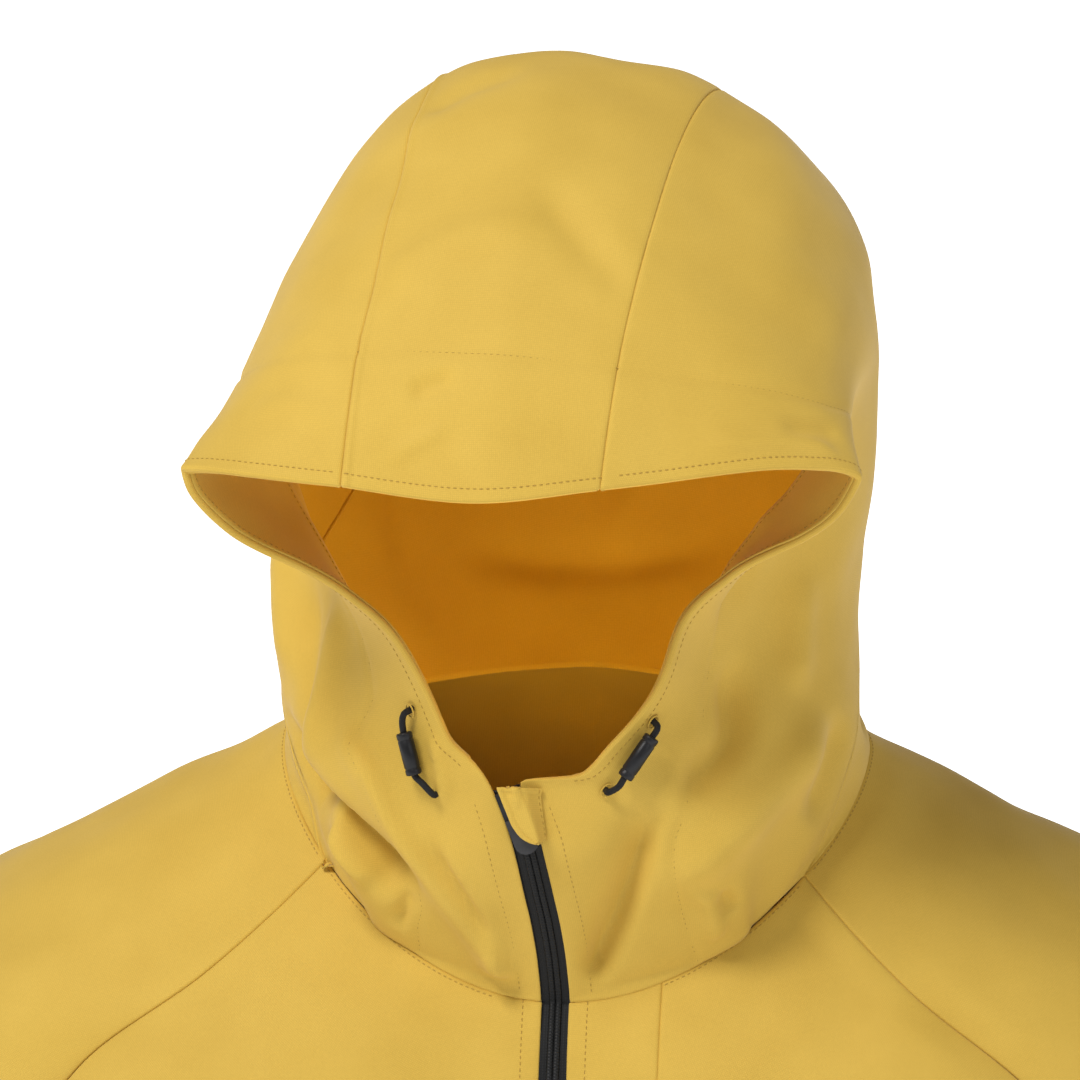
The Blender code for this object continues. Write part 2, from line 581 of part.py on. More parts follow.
def add_slider(collection, tools, finish, matrix):
    width, thick, height = SLIDER_PLATE
    slider = block("zip_slider", SLIDER_PLATE, (0, SLIDER_FRONT_Y, 0), collection)
    slider.data.materials.append(finish)
    middle = (SLIDER_FRONT_Y + SLIDER_BACK_Y) / 2
    bridge_y = SLIDER_FRONT_Y - thick / 2 - BRIDGE_RISE / 2 + 0.1
    bar_y = SLIDER_FRONT_Y - thick / 2 - BRIDGE_RISE + BRIDGE_BAR / 2
    leg_z = (BRIDGE_LENGTH - BRIDGE_BAR) / 2
    pieces = (
        ("slider back plate", SLIDER_PLATE, (0, SLIDER_BACK_Y, 0)),
        ("slider post", SLIDER_POST, (0, middle, height / 2 - SLIDER_POST[2] / 2)),
        ("bridge top leg", (BRIDGE_WIDTH, BRIDGE_RISE + 0.2, BRIDGE_BAR), (0, bridge_y, leg_z)),
        ("bridge lower leg", (BRIDGE_WIDTH, BRIDGE_RISE + 0.2, BRIDGE_BAR), (0, bridge_y, -leg_z)),
        ("bridge bar", (BRIDGE_WIDTH, BRIDGE_BAR, BRIDGE_LENGTH), (0, bar_y, 0)),
    )
    for name, size, centre in pieces:
        boolean(slider, tool(block(name, size, centre, tools)), "UNION")
    place(slider, matrix)


def add_pull(collection, tools, finish, matrix):
    """The pull tab: an eye round the bridge, and a plate. Its origin is on its hinge axis."""
    eye_half, arm, bar = PULL_WIDTH / 2 - 1.6, 1.6, 0.9
    pull = rounded_plate("zip_pull", PULL_WIDTH, PULL_THICK, -PULL_LENGTH, -5.4 - PULL_AXIS_Z, 4.2, collection)
    pull.data.materials.append(finish)
    pull.data.transform(Matrix.Translation((0, -0.2 * MM, 0)))
    reach = 7.0 + PULL_AXIS_Z
    pieces = [("pull bar", (2 * eye_half, bar, bar), (0, 0, 0))]
    for side, name in ((1, "pull left arm"), (-1, "pull right arm")):
        pieces.append((name, (arm, bar, reach + bar / 2), (side * (eye_half - arm / 2), 0, -reach / 2 + bar / 4)))
    for name, size, centre in pieces:
        boolean(pull, tool(block(name, size, centre, tools)), "UNION")
    place(pull, matrix @ Matrix.Translation(Vector((0, PULL_AXIS_Y, PULL_AXIS_Z)) * MM))


def lifted(route):
    """A cord's route: hood surface points raised along the surface normal."""
    points = []
    for u, v, lift in route:
        here, along, back = hood_points([u, u + 0.004, u], [v, v, v + 0.004])
        normal = np.cross(back - here, along - here)
        points.append(here + normal / np.linalg.norm(normal) * lift)
    return np.array(points)


def add_cord(name, points, collection, finish):
    curve = bpy.data.curves.new(name, "CURVE")
    curve.dimensions = "3D"
    curve.bevel_depth = CORD_RADIUS * MM
    curve.bevel_resolution = 2
    curve.use_fill_caps = True
    spline = curve.splines.new("POLY")
    spline.points.add(len(points) - 1)
    for knot, point in zip(spline.points, points):
        knot.co = (*(point * MM), 1)
    return add_object(name, curve, collection, finish)


def add_barrel(name, ends, collection, tools, finish):
    """A cord barrel: a turned cylinder bored for the cord, along the straight between its ends."""
    start, end = (Vector((p * MM).tolist()) for p in ends)
    axis = end - start
    middle = (start + end) / 2
    turn = Vector((0, 0, 1)).rotation_difference(axis).to_matrix().to_4x4()
    radius, bore = BARREL_RADIUS * MM, (CORD_RADIUS + LAYER_GAP) * MM
    half = axis.length / 2 - 0.2 * MM
    profile = [(bore, -half), (radius * 0.8, -half), (radius, -half + 0.8 * MM),
               (radius, half - 0.8 * MM), (radius * 0.8, half), (bore, half)]
    sides = 20
    points = [(r * math.cos(2 * math.pi * k / sides), r * math.sin(2 * math.pi * k / sides), z)
              for r, z in profile for k in range(sides)]
    faces = []
    for ring in range(len(profile)):
        after = (ring + 1) % len(profile)
        for k in range(sides):
            n = (k + 1) % sides
            faces.append((ring * sides + k, ring * sides + n, after * sides + n, after * sides + k))
    mesh = bpy.data.meshes.new(name)
    mesh.from_pydata(points, [], faces)
    barrel = add_object(name, mesh, collection, finish)
    barrel.matrix_world = Matrix.Translation(middle) @ turn


def straight(points, rows):
    """Cord points with an even run of extra points along the barrel."""
    first, last = rows
    inner = [lerp(points[first], points[last], t) for t in (0, 0.33, 0.67, 1)]
    return np.array([*points[:first], *inner, *points[last + 1:]])


def add_hood(garment, yellow, inner):
    rows = np.array(HOOD_ROWS, float)
    seam = lerp(SEAM_INSET, NAPE_INSET, smooth((rows - 0.5) / 0.2))
    u, v = hood_side_uv(rows, SIDE_COLUMNS)
    for name, own in (("hood_side_left", u), ("hood_side_right", 2 - u)):
        side = inset_edges(inset_edges(hood_points(own, v), ("left",), SEAM_INSET), ("right",), seam)
        cloth(name, surface(side), garment, yellow)
    u, v = hood_centre_uv(rows, np.linspace(-1, 1, 2 * CENTRE_COLUMNS + 1))
    centre = inset_edges(inset_edges(hood_points(u, v), ("bottom",), SEAM_INSET), ("left", "right"), seam)
    cloth("hood_center_panel", surface(centre), garment, yellow)

    rows = rows[:FACING_ROWS]
    side_u, side_v = hood_side_uv(rows, SIDE_COLUMNS)
    centre_u, centre_v = hood_centre_uv(rows, np.linspace(-1, 1, 2 * CENTRE_COLUMNS + 1))
    u = np.hstack([side_u, centre_u[:, 1:-1], 2 - side_u[:, ::-1]])
    v = np.hstack([side_v, centre_v[:, 1:-1], side_v[:, ::-1]])
    outer = hood_points(u, v)
    facing = outer.copy()
    beside_zip = smooth((np.minimum(u[0], 2 - u[0]) - 0.25) / 0.04)
    start = lerp(FACING_START_ZIP_V, FACING_START_V, beside_zip) / rows[1]
    facing[0] = lerp(facing[0], facing[1], start[:, None])
    facing = inset_edges(facing, ("left", "right"), SEAM_INSET)
    inward = CLOTH / 2 + FACING_GAP + FACING_CLOTH / 2
    cloth("hood_facing", surface(offset(facing, -inward), like=outer), garment, inner, FACING_CLOTH)


def side_inset(rows):
    """Insets down a raglan and side seam: wider towards the armpit, where the panels meet at an angle."""
    share = np.arange(rows) / RAGLAN_ROWS
    return SEAM_INSET + (ARMPIT_INSET - SEAM_INSET) * np.where(share <= 1, share**1.5, 0)


def add_body(garment, yellow):
    turn = np.linspace(0, 1, FRONT_COLUMNS + 1)
    front = body_half("front", RAGLAN_ROWS, TORSO_ROWS, turn)
    seam = at_x(front, CHEST_SEAM_X)
    inner = np.stack([lerp(front[:, 0], seam, t) for t in (0, 0.5, 1)], axis=1)
    inner[:, 1] = at_x(front, (ZIP_HALF_GAP + CHEST_SEAM_X) / 2)
    whole = np.concatenate([mirror(front)[:, ::-1], inner], axis=1)
    side = side_inset(len(whole))
    whole = inset_edges(inset_edges(whole, ("left",), side), ("right",), SEAM_INSET)
    whole = inset_edges(whole, ("top",), NECK_INSET)
    slit = FRONT_COLUMNS
    cloth("front_main", surface(whole, without=lambda r, c: c == slit and r < ZIP_FOOT_ROW), garment, yellow)

    # The chest panel's columns run from the chest seam to the raglan and side seam.
    across = np.linspace(0, 1, FRONT_COLUMNS)
    columns = []
    for t in across:
        x = lerp(CHEST_SEAM_X, front[:, -1, 0], t)
        columns.append(np.array([at_x(front[r:r + 1], x[r])[0] for r in range(len(front))]))
    chest = np.stack(columns, axis=1)
    chest = inset_edges(inset_edges(chest, ("left",), SEAM_INSET), ("right",), side)
    chest = inset_edges(chest, ("top",), NECK_INSET)
    cloth("front_chest_panel", surface(chest), garment, yellow)

    back = body_half("back", RAGLAN_ROWS, TORSO_ROWS, np.linspace(0, 1, BACK_COLUMNS + 1))
    whole = np.concatenate([mirror(back)[:, :0:-1], back], axis=1)
    whole = inset_edges(inset_edges(whole, ("left", "right"), side), ("top",), NECK_INSET)
    cloth("back_panel", surface(whole), garment, yellow)

    for name, sign in (("sleeve_left", 1), ("sleeve_right", -1)):
        sleeve = sleeve_points(RAGLAN_ROWS, SLEEVE_ROWS, np.linspace(0, 1, SLEEVE_AROUND + 1))
        sleeve = inset_edges(inset_edges(sleeve, ("left", "right"), side_inset(len(sleeve))), ("top",), NECK_INSET)
        cloth(name, surface(sleeve * (sign, 1, 1)), garment, yellow)
    return front


def add_zip(garment, tools, front, black, metal, grip):
    half = (LAYER_GAP / 2, COIL_WIDTH / 2, ZIP_HALF_GAP, ZIP_HALF_GAP + TAPE_UNDER / 2, ZIP_HALF_GAP + TAPE_UNDER)
    strip = zip_strip(front, [-x for x in half[::-1]] + list(half))
    inward = CLOTH / 2 + TAPE_GAP + TAPE_THICK / 2
    tapes = offset(strip, -inward)
    for row in (0, 1):
        tapes[row, 4] += (tapes[row, 3] - tapes[row, 4]) * (TAPE_SPLIT / half[1])
        tapes[row, 5] += (tapes[row, 6] - tapes[row, 5]) * (TAPE_SPLIT / half[1])
    cloth("zip_tape_right", surface(tapes[:, :5]), garment, black, TAPE_THICK)
    cloth("zip_tape_left", surface(tapes[:, 5:]), garment, black, TAPE_THICK)
    outward = COIL_THICK / 2 + LAYER_GAP + TAPE_THICK / 2 - inward
    coil = offset(strip, outward)[2:, 3:7]
    cloth("zip_coil", surface(coil), garment, black, COIL_THICK)

    middle, across, inwards, up = zip_frame()
    matrix = Matrix.Identity(4)
    for column, axis in enumerate((across, inwards, up)):
        matrix.col[column] = (*axis, 0)
    matrix.col[3] = (*(middle * MM), 1)
    add_slider(garment, tools, metal, matrix)
    add_pull(garment, tools, grip, matrix)


def add_chin_guard(garment, yellow):
    inwards = zip_frame()[2]
    top, lower = ZIP_ROWS_U[:2]
    grid = []
    for z, left, right in GUARD:
        u = lerp(lower, top, SLIDER_SHARE) + z / ZIP_MM_PER_U
        row = []
        for t in np.linspace(0, 1, GUARD_COLUMNS_ACROSS):
            x = lerp(left, right, t)
            foot = CLOTH / 2 + LAYER_GAP + GUARD_CLOTH / 2
            lift = lerp(GUARD_LIFT, foot, smooth((x - GUARD_FREE) / (right - GUARD_FREE)))
            row.append(zip_surface(u, x) - inwards * lift)
        grid.append(row)
    cloth("chin_guard", surface(np.array(grid)), garment, yellow, GUARD_CLOTH)


def main():
    for old in list(bpy.data.objects):
        bpy.data.objects.remove(old)
    garment = bpy.data.collections.new("anorak_pullover")
    tools = bpy.data.collections.new("anorak_pullover_cutters")
    for collection in (garment, tools):
        bpy.context.scene.collection.children.link(collection)
    yellow = material("shell_cloth", (0.64, 0.43, 0.08), 0.75)
    inner = material("facing_cloth", (0.58, 0.38, 0.06), 0.8)
    black = material("zip_black", (0.012, 0.012, 0.013), 0.6)
    metal = material("slider_metal", (0.03, 0.03, 0.033), 0.4, 0.8)
    grip = material("pull_grey", (0.06, 0.06, 0.062), 0.5)
    cord = material("cord_black", (0.01, 0.01, 0.011), 0.7)
    barrel = material("barrel_black", (0.014, 0.014, 0.015), 0.4)

    add_hood(garment, yellow, inner)
    front = add_body(garment, yellow)
    add_zip(garment, tools, front, black, metal, grip)
    add_chin_guard(garment, yellow)
    for side, route in (("left", CORD_LEFT), ("right", CORD_RIGHT)):
        points = lifted(route)
        first, last = CORD_BARREL_ROWS
        add_barrel("cord_barrel_" + side, (points[first], points[last]), garment, tools, barrel)
        add_cord("drawcord_" + side, straight(points, CORD_BARREL_ROWS), garment, cord)


main()
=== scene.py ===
"""Looks of the hooded half-zip anorak pullover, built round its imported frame.

The cloth panels are thin shells on the forms of their solids, with their folds as soft troughs and
ridges. Tables are in millimetres; MM turns them into Blender's metres.
"""

import math

import bmesh
import bpy
import numpy as np
from mathutils import Matrix, Vector, noise


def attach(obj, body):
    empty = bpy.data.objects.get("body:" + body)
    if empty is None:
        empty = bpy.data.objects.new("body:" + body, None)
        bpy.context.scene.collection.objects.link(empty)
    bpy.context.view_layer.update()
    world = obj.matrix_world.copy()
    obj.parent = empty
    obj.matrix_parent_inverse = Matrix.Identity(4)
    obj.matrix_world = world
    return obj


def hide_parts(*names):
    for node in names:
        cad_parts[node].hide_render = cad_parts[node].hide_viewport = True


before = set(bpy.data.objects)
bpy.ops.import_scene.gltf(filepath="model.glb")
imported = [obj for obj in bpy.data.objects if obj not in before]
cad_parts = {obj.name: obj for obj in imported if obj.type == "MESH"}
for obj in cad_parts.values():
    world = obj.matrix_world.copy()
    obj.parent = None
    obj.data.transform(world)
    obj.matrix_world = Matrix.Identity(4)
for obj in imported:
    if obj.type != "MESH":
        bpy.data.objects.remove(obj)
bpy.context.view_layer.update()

MM = 0.001

# ---------------------------------------------------------------- the garment's form, as in the CAD source

SEAM_INSET, NECK_INSET = 0.05, 0.05

NECK_HALF_WIDTH = 117.0
NECK_FRONT_Y, NECK_SIDE_Y, NECK_BACK_Y = -97.0, 5.0, 80.0
NECK_SIDE_Z = -2.0
NECK_FRONT_DROP, NECK_FRONT_DIP = 25.0, 46.0
NECK_BACK_RISE = 8.0
NECK_BACK_TAPER = 1.5
RAGLAN_FRONT_DEG, RAGLAN_BACK_DEG = 53.5, 130.0

ZIP_HALF_GAP = 6.0
CHEST_SEAM_X = 41.0
SLIDER_SHARE = 0.36
ZIP_ROWS_U = (0.25, 0.222, 0.18, 0.12, 0.06, 0.0)
ZIP_MM_PER_U = 490.0
ZIP_FOOT_Z = -303.25
GUARD_CLEAR, GUARD_SEWN = 0.7, 1.15
GUARD = ((9, -2, 15), (4, -2, 13), (-1, -2, 11.5), (-6, -2, 10), (-10, -1, 9), (-12.5, 1, 8.4), (-14, 5, 8))
GUARD_FREE, GUARD_LIFT = 5.6, 6.6

CORD_RADIUS = 1.3
BARREL_RADIUS = 3.1
BARREL_LIFT = 4.4
BARREL_ROUND, BARREL_GROOVE = 0.7, 0.22
CORD_LEFT = (
    (0.367, 0.030, -1.4), (0.366, 0.030, 1.5), (0.366, 0.030, 2.7), (0.362, 0.031, 4.0),
    (0.355, 0.031, BARREL_LIFT), (0.299, 0.038, BARREL_LIFT),
    (0.286, 0.041, 4.0), (0.271, 0.045, 2.7), (0.271, 0.045, 1.5), (0.270, 0.045, -1.4),
)
CORD_RIGHT = (
    (1.633, 0.021, -1.4), (1.634, 0.021, 1.5), (1.634, 0.021, 2.7), (1.643, 0.025, 4.0),
    (1.657, 0.028, BARREL_LIFT), (1.727, 0.040, BARREL_LIFT),
    (1.740, 0.038, 4.0), (1.756, 0.035, 2.7), (1.756, 0.035, 1.5), (1.757, 0.035, -1.4),
)
CORD_BARREL_ROWS = (4, 5)

OPENING = (
    (0.05, 5, -100, -56), (0.10, 3, -104, -39), (0.15, 0, -108, -22), (0.20, -4, -112, -1),
    (0.25, -12, -110, 22), (0.29, 11, -108, 25), (0.33, 22, -106, 36), (0.38, 37, -103, 53),
    (0.46, 52, -98, 88), (0.52, 68, -98, 103), (0.58, 94, -100, 118), (0.64, 109, -103, 132),
    (0.68, 115, -106, 145), (0.75, 102, -115, 152), (0.82, 76, -128, 155), (0.915, 20, -142, 150),
    (1.00, -28, -146, 145), (1.085, -76, -140, 148), (1.24, -128, -126, 148), (1.32, -138, -120, 147),
    (1.36, -136, -118, 138), (1.42, -122, -110, 120), (1.48, -96, -103, 102), (1.54, -70, -100, 82),
    (1.58, -58, -102, 67), (1.67, -41, -106, 37), (1.75, -25, -110, 22), (1.80, -16, -112, -1),
    (1.85, -12, -108, -22), (1.90, -9, -104, -39), (1.95, -7, -100, -56),
)
HOOD_COLUMNS = ("v", "phi", "collar", "cheek", "wide", "top_y", "top_z")
HOOD_ARCS = (
    (0.108, 29.0, (64, -97, 8), (72, -66, 66), (118, -62, 158), -122, 195),
    (0.279, 40.0, (90, -70, 8), (103, -26, 68), (117, -12, 163), -50, 253),
    (0.432, 46.0, (105, -43, 14), (115, 0, 69), (117, 28, 156), 36, 272),
    (0.561, 49.5, (111, -28, 18), (117, 16, 65), (113, 58, 138), 96, 236),
    (0.676, 51.5, (114, -17, 18), (116, 27, 55), (106, 80, 112), 125, 180),
    (0.790, 52.6, (115, -10, 12), (114, 34, 42), (97, 88, 80), 130, 116),
    (0.900, 53.2, (116, -6, 4), (110, 37, 27), (88, 80, 45), 113, 56),
)
HOOD_U = {"collar": 0.25, "cheek": 0.46, "wide": 0.68}
NECK_RING_DEG = {"collar": 85.0, "cheek": 113.0, "wide": 140.0}
QUARTER_STEPS = 5
HOOD_SEAM = (
    (0.00, 0.915, 0.000, 0.000), (0.28, 0.908, 0.280, 0.280), (0.56, 0.895, 0.560, 0.500),
    (0.70, 0.875, 0.700, 0.560), (0.78, 0.800, 0.770, 0.600), (0.85, 0.620, 0.765, 0.620),
    (0.91, 0.400, 0.730, 0.640), (0.95, 0.220, 0.700, 0.660), (0.98, 0.100, 0.740, 0.720),
    (1.00, 0.000, 1.000, 1.000),
)
HOOD_TURN_DEG = 6.5
HOOD_TURN_Y = 20.0
HOOD_RISE = 95.0
HOOD_SWAY = ((-75, 0), (20, -7), (85, -3), (150, 0), (200, 5), (281, 7))
HOOD_SLIP = 15.0

ARMPIT = (232, 0, -252)
RAGLAN_FRONT = ((138, -84, -70), (187, -98, -106), (216, -89, -160), (229, -52, -217), ARMPIT)
RAGLAN_BACK = ((117, 82, -36), (160, 101, -84), (200, 98, -146), (224, 58, -212), ARMPIT)
FRONT_CENTRE = ((-113, -100), (-127, -140), (-134, -190), (-135, -252))
BACK_CENTRE = ((103, -24), (118, -80), (122, -150), (118, -252))
TORSO = (
    (-252, 232, -135, 118), (-330, 230, -134, 112), (-430, 223, -128, 101),
    (-530, 224, -128, 104), (-610, 229, -128, 111), (-662, 228, -126, 111),
)
TORSO_SIDE_Y = 0.0
TORSO_BOXY = 2.5
SLEEVE = (
    (0, 69, 74, 0), (90, 65, 69, 0), (230, 58, 61, -6),
    (360, 51, 54, -18), (470, 45, 47, -32), (520, 43, 45, -40),
)
ARM_TILT_DEG = 22.0
SHOULDER = ((140, 10, -18), (175, 12, -35), (215, 12, -55), (262, 10, -81), (303, 5, -116), (337, 2, -157))
ARMPIT_EASE = 1.6

# ---------------------------------------------------------------- looks

SHELL = 0.7              # thickness of the shown cloth
ROLL, ROLL_ZIP = 1.15, 0.38   # radius of the folded edge, round the opening and beside the zip
ROLL_TAIL = 2.5
BAND = 2 * math.pi / 20   # a wave texture of scale 1 repeats over this length
NECK_DIP = 0.55           # share of the depth that the neck seam has
TUCK_REACH, TUCK_DEPTH = 3.2, 0.3   # the hood's seam allowance, in under the body
FOLD_GAIN = 1.9          # all folds deepen together by this
FACING_DEPTH = 3.1       # the facing lies this far inside the hood's cloth
STITCH_LENGTH, STITCH_GAP, STITCH_WIDTH, STITCH_FLATTEN = 1.7, 0.75, 0.42, 0.8
EDGE_STEPS = (0.0, 0.25, 0.6, 1.1, 1.9)      # extra rows this far from a seam
EDGE_DEPTHS = (1.15, 0.55, 0.22, 0.06, 0.0)   # and how deep the cloth turns in there


def lerp(a, b, t):
    return a + (b - a) * t


def smooth(t):
    t = np.clip(t, 0, 1)
    return t * t * (3 - 2 * t)


def akima(knots, values, at):
    """A smooth curve through values at knots that doesn't swing past its points."""
    knots, values, at = np.asarray(knots, float), np.asarray(values, float), np.asarray(at, float)
    slope = np.diff(values, axis=0) / np.diff(knots)[:, None]
    ends = [2 * slope[0] - slope[1], *slope, 2 * slope[-1] - slope[-2]]
    slope = np.array([2 * ends[0] - ends[1], *ends, 2 * ends[-1] - ends[-2]])
    change = np.abs(np.diff(slope, axis=0)) + 0.5 * np.abs(slope[1:] + slope[:-1])
    before, after = change[2:] + 1e-9, change[:-2] + 1e-9
    tangent = (before * slope[1:-2] + after * slope[2:-1]) / (before + after)
    i = np.clip(np.searchsorted(knots, at, "right") - 1, 0, len(knots) - 2)
    width = (knots[i + 1] - knots[i])[:, None]
    t = ((at - knots[i])[:, None]) / width
    return (
        (1 + 2 * t) * (1 - t) ** 2 * values[i] + t * (1 - t) ** 2 * width * tangent[i]
        + t * t * (3 - 2 * t) * values[i + 1] - t * t * (1 - t) * width * tangent[i + 1]
    )


def spline_weights(knots, at):
    """Weights of each knot's value in the natural cubic spline at the places in at."""
    knots, at = np.asarray(knots, float), np.asarray(at, float)
    n, h = len(knots), np.diff(knots)
    left, right = np.eye(n), np.zeros((n, n))
    for k in range(1, n - 1):
        left[k, k - 1:k + 2] = h[k - 1], 2 * (h[k - 1] + h[k]), h[k]
        right[k, k - 1:k + 2] = 6 / h[k - 1], -6 / h[k - 1] - 6 / h[k], 6 / h[k]
    second = np.linalg.solve(left, right)
    i = np.clip(np.searchsorted(knots, at, "right") - 1, 0, n - 2)
    a, b = (knots[i + 1] - at) / h[i], (at - knots[i]) / h[i]
    return (
        a[:, None] * np.eye(n)[i] + b[:, None] * np.eye(n)[i + 1]
        + ((a**3 - a) * h[i] ** 2 / 6)[:, None] * second[i]
        + ((b**3 - b) * h[i] ** 2 / 6)[:, None] * second[i + 1]
    )


def along_points(points, at):
    """A smooth curve through points, by share of its length."""
    points = np.asarray(points, float)
    knots = np.concatenate([[0], np.cumsum(np.linalg.norm(np.diff(points, axis=0), axis=1))])
    return akima(knots / knots[-1], points, at)


def neck_seam(degrees):
    """Points of the neck seam, by angle from the front centre towards the wearer's left."""
    a = np.radians(np.asarray(degrees, float))
    c = np.cos(a)
    front = c > 0
    x = NECK_HALF_WIDTH * np.clip(np.sin(a), 0, 1) ** np.where(front, 1, NECK_BACK_TAPER)
    y = NECK_SIDE_Y + np.where(front, NECK_FRONT_Y - NECK_SIDE_Y, NECK_SIDE_Y - NECK_BACK_Y) * c
    z = np.where(front, -NECK_FRONT_DROP * c - NECK_FRONT_DIP * c * c,
                 NECK_BACK_RISE * (0.5 * np.tanh(-6 * c) + 0.5 * c * c))
    return np.stack([x, y, NECK_SIDE_Z + z], axis=-1)


def hood_arc(arc, u):
    """One arc of the hood at the shares u of its course, on the wearer's left."""
    row = dict(zip(HOOD_COLUMNS, arc))
    knots = [0, *HOOD_U.values()]
    points = [neck_seam(row["phi"]), row["collar"], row["cheek"], row["wide"]]
    wide, top = np.array(row["wide"], float), np.array((0, row["top_y"], row["top_z"]), float)
    for step in range(1, QUARTER_STEPS + 1):
        angle = math.pi / 2 * step / QUARTER_STEPS
        knots.append(lerp(HOOD_U["wide"], 1, step / QUARTER_STEPS))
        points.append((wide[0] * math.cos(angle), *lerp(wide[1:], top[1:], math.sin(angle))))
    knots.append(2 - knots[-2])
    points.append(np.array(points[-2]) * (-1, 1, 1))
    return akima(knots, points, u)


def neck_arc(u):
    """The hood's last arc: the back of the neck seam."""
    degrees = [RAGLAN_FRONT_DEG, *NECK_RING_DEG.values(), 180]
    return neck_seam(akima([0, *HOOD_U.values(), 1], np.array(degrees)[:, None], u)[:, 0])


def front_edge(u):
    """The hood's front edge at u from 0 to 2."""
    start = neck_seam(math.degrees(math.asin(ZIP_HALF_GAP / NECK_HALF_WIDTH)))
    table = np.array([(0, *start), *OPENING, (2, *(start * (-1, 1, 1)))], float)
    return akima(table[:, 0], table[:, 1:], u)


def turned(points):
    """Turns, sways and slips hood points, more the higher they are above the neck seam."""
    around = np.degrees(np.arctan2(points[..., 0] / NECK_HALF_WIDTH, (NECK_SIDE_Y - points[..., 1]) / 90))
    share = smooth((points[..., 2] - neck_seam(np.abs(around))[..., 2]) / HOOD_RISE)
    sway = np.array(HOOD_SWAY, float)
    angle = np.radians(HOOD_TURN_DEG) * share
    x, y, z = points[..., 0], points[..., 1] - HOOD_TURN_Y, points[..., 2]
    shift = share * akima(sway[:, 0], sway[:, 1:], np.clip(z, sway[0, 0], sway[-1, 0]))[:, 0]
    slip = HOOD_SLIP * smooth((z - 90) / 60) * np.clip(1 - (x / NECK_HALF_WIDTH) ** 2, 0, 1)
    return np.stack([x * np.cos(angle) + y * np.sin(angle) + shift - slip,
                     y * np.cos(angle) - x * np.sin(angle) + HOOD_TURN_Y, z], axis=-1)


def hood_points(u, v):
    """Hood surface at arrays u, v of one shape. u runs 0..1 up the wearer's left, 1..2 down the right."""
    u, v = np.broadcast_arrays(np.asarray(u, float), np.asarray(v, float))
    flat_u, flat_v = u.ravel(), v.ravel()
    own = np.where(flat_u > 1, 2 - flat_u, flat_u)
    side = np.where(flat_u > 1, -1, 1)[:, None] * np.array((1, 0, 0)) + np.array((0, 1, 1))
    arcs = [front_edge(flat_u)]
    arcs += [turned(hood_arc(arc, own) * side) for arc in HOOD_ARCS]
    arcs.append(neck_arc(own) * side)
    knots = [0, *[arc[0] for arc in HOOD_ARCS], 1]
    points = np.einsum("nk,knc->nc", spline_weights(knots, flat_v), np.array(arcs))
    start = math.degrees(math.asin(ZIP_HALF_GAP / NECK_HALF_WIDTH))
    degrees = np.array([start, *[arc[1] for arc in HOOD_ARCS], RAGLAN_FRONT_DEG])[:, None]
    foot = own < 1e-9
    points[foot] = (neck_seam(akima(knots, degrees, flat_v)[:, 0]) * side)[foot]
    return points.reshape(*u.shape, 3)


def hood_seam(share):
    """u, v and neck_v of the panel seam at the shares of its course."""
    table = np.array(HOOD_SEAM, float)
    return akima(table[:, 0], table[:, 1:], share).T


def coons(top, bottom, left, right):
    """A surface between four edges, rows from top to bottom, columns from left to right."""
    s = np.linspace(0, 1, len(left))[:, None, None]
    t = np.linspace(0, 1, len(top))[None, :, None]
    corners = (1 - s) * ((1 - t) * top[0] + t * top[-1]) + s * ((1 - t) * bottom[0] + t * bottom[-1])
    return (1 - s) * top + s * bottom + (1 - t) * left[:, None] + t * right[:, None] - corners


def torso_ring(z, turn, side):
    """Torso points at height z. turn is 0 at the centre line and 1 at the side seam."""
    table = np.array(TORSO, float)
    _, half_width, front_y, back_y = akima(-table[:, 0], table, [-z])[0]
    depth = front_y if side == "front" else back_y
    start = math.asin(ZIP_HALF_GAP / half_width) if side == "front" else 0
    a = lerp(start, math.pi / 2, turn)
    across = half_width * np.sin(a)
    out = TORSO_SIDE_Y + (depth - TORSO_SIDE_Y) * np.clip(np.cos(a), 0, 1) ** (2 / TORSO_BOXY)
    return np.stack([across, out, np.full_like(across, z)], axis=-1)


def raglan(side, rows):
    table = RAGLAN_FRONT if side == "front" else RAGLAN_BACK
    degrees = RAGLAN_FRONT_DEG if side == "front" else RAGLAN_BACK_DEG
    return along_points([neck_seam(degrees), *table], rows)


def body_half(side, raglan_rows, torso_rows, turn):
    """Front or back on the wearer's left: rows from neck seam to hem, columns from centre to edge."""
    rows = np.linspace(0, 1, raglan_rows + 1)
    if side == "front":
        start = math.degrees(math.asin(ZIP_HALF_GAP / NECK_HALF_WIDTH))
        top = neck_seam(lerp(start, RAGLAN_FRONT_DEG, turn))
        centre = [(ZIP_HALF_GAP, y, z) for y, z in FRONT_CENTRE]
    else:
        top = neck_seam(lerp(180, RAGLAN_BACK_DEG, turn))
        centre = [(0, y, z) for y, z in BACK_CENTRE]
    left = along_points([top[0], *centre], rows)
    bottom = torso_ring(TORSO[0][0], turn, side)
    left[-1] = bottom[0]
    upper = coons(top, bottom, left, raglan(side, rows))
    heights = np.linspace(TORSO[0][0], TORSO[-1][0], torso_rows + 1)[1:]
    lower = np.array([torso_ring(z, turn, side) for z in heights])
    return np.vstack([upper, lower])


def at_x(points, x):
    """The point of each row of a grid where it crosses x."""
    return np.array([[np.interp(x, row[:, 0], row[:, k]) for k in range(3)] for row in points])


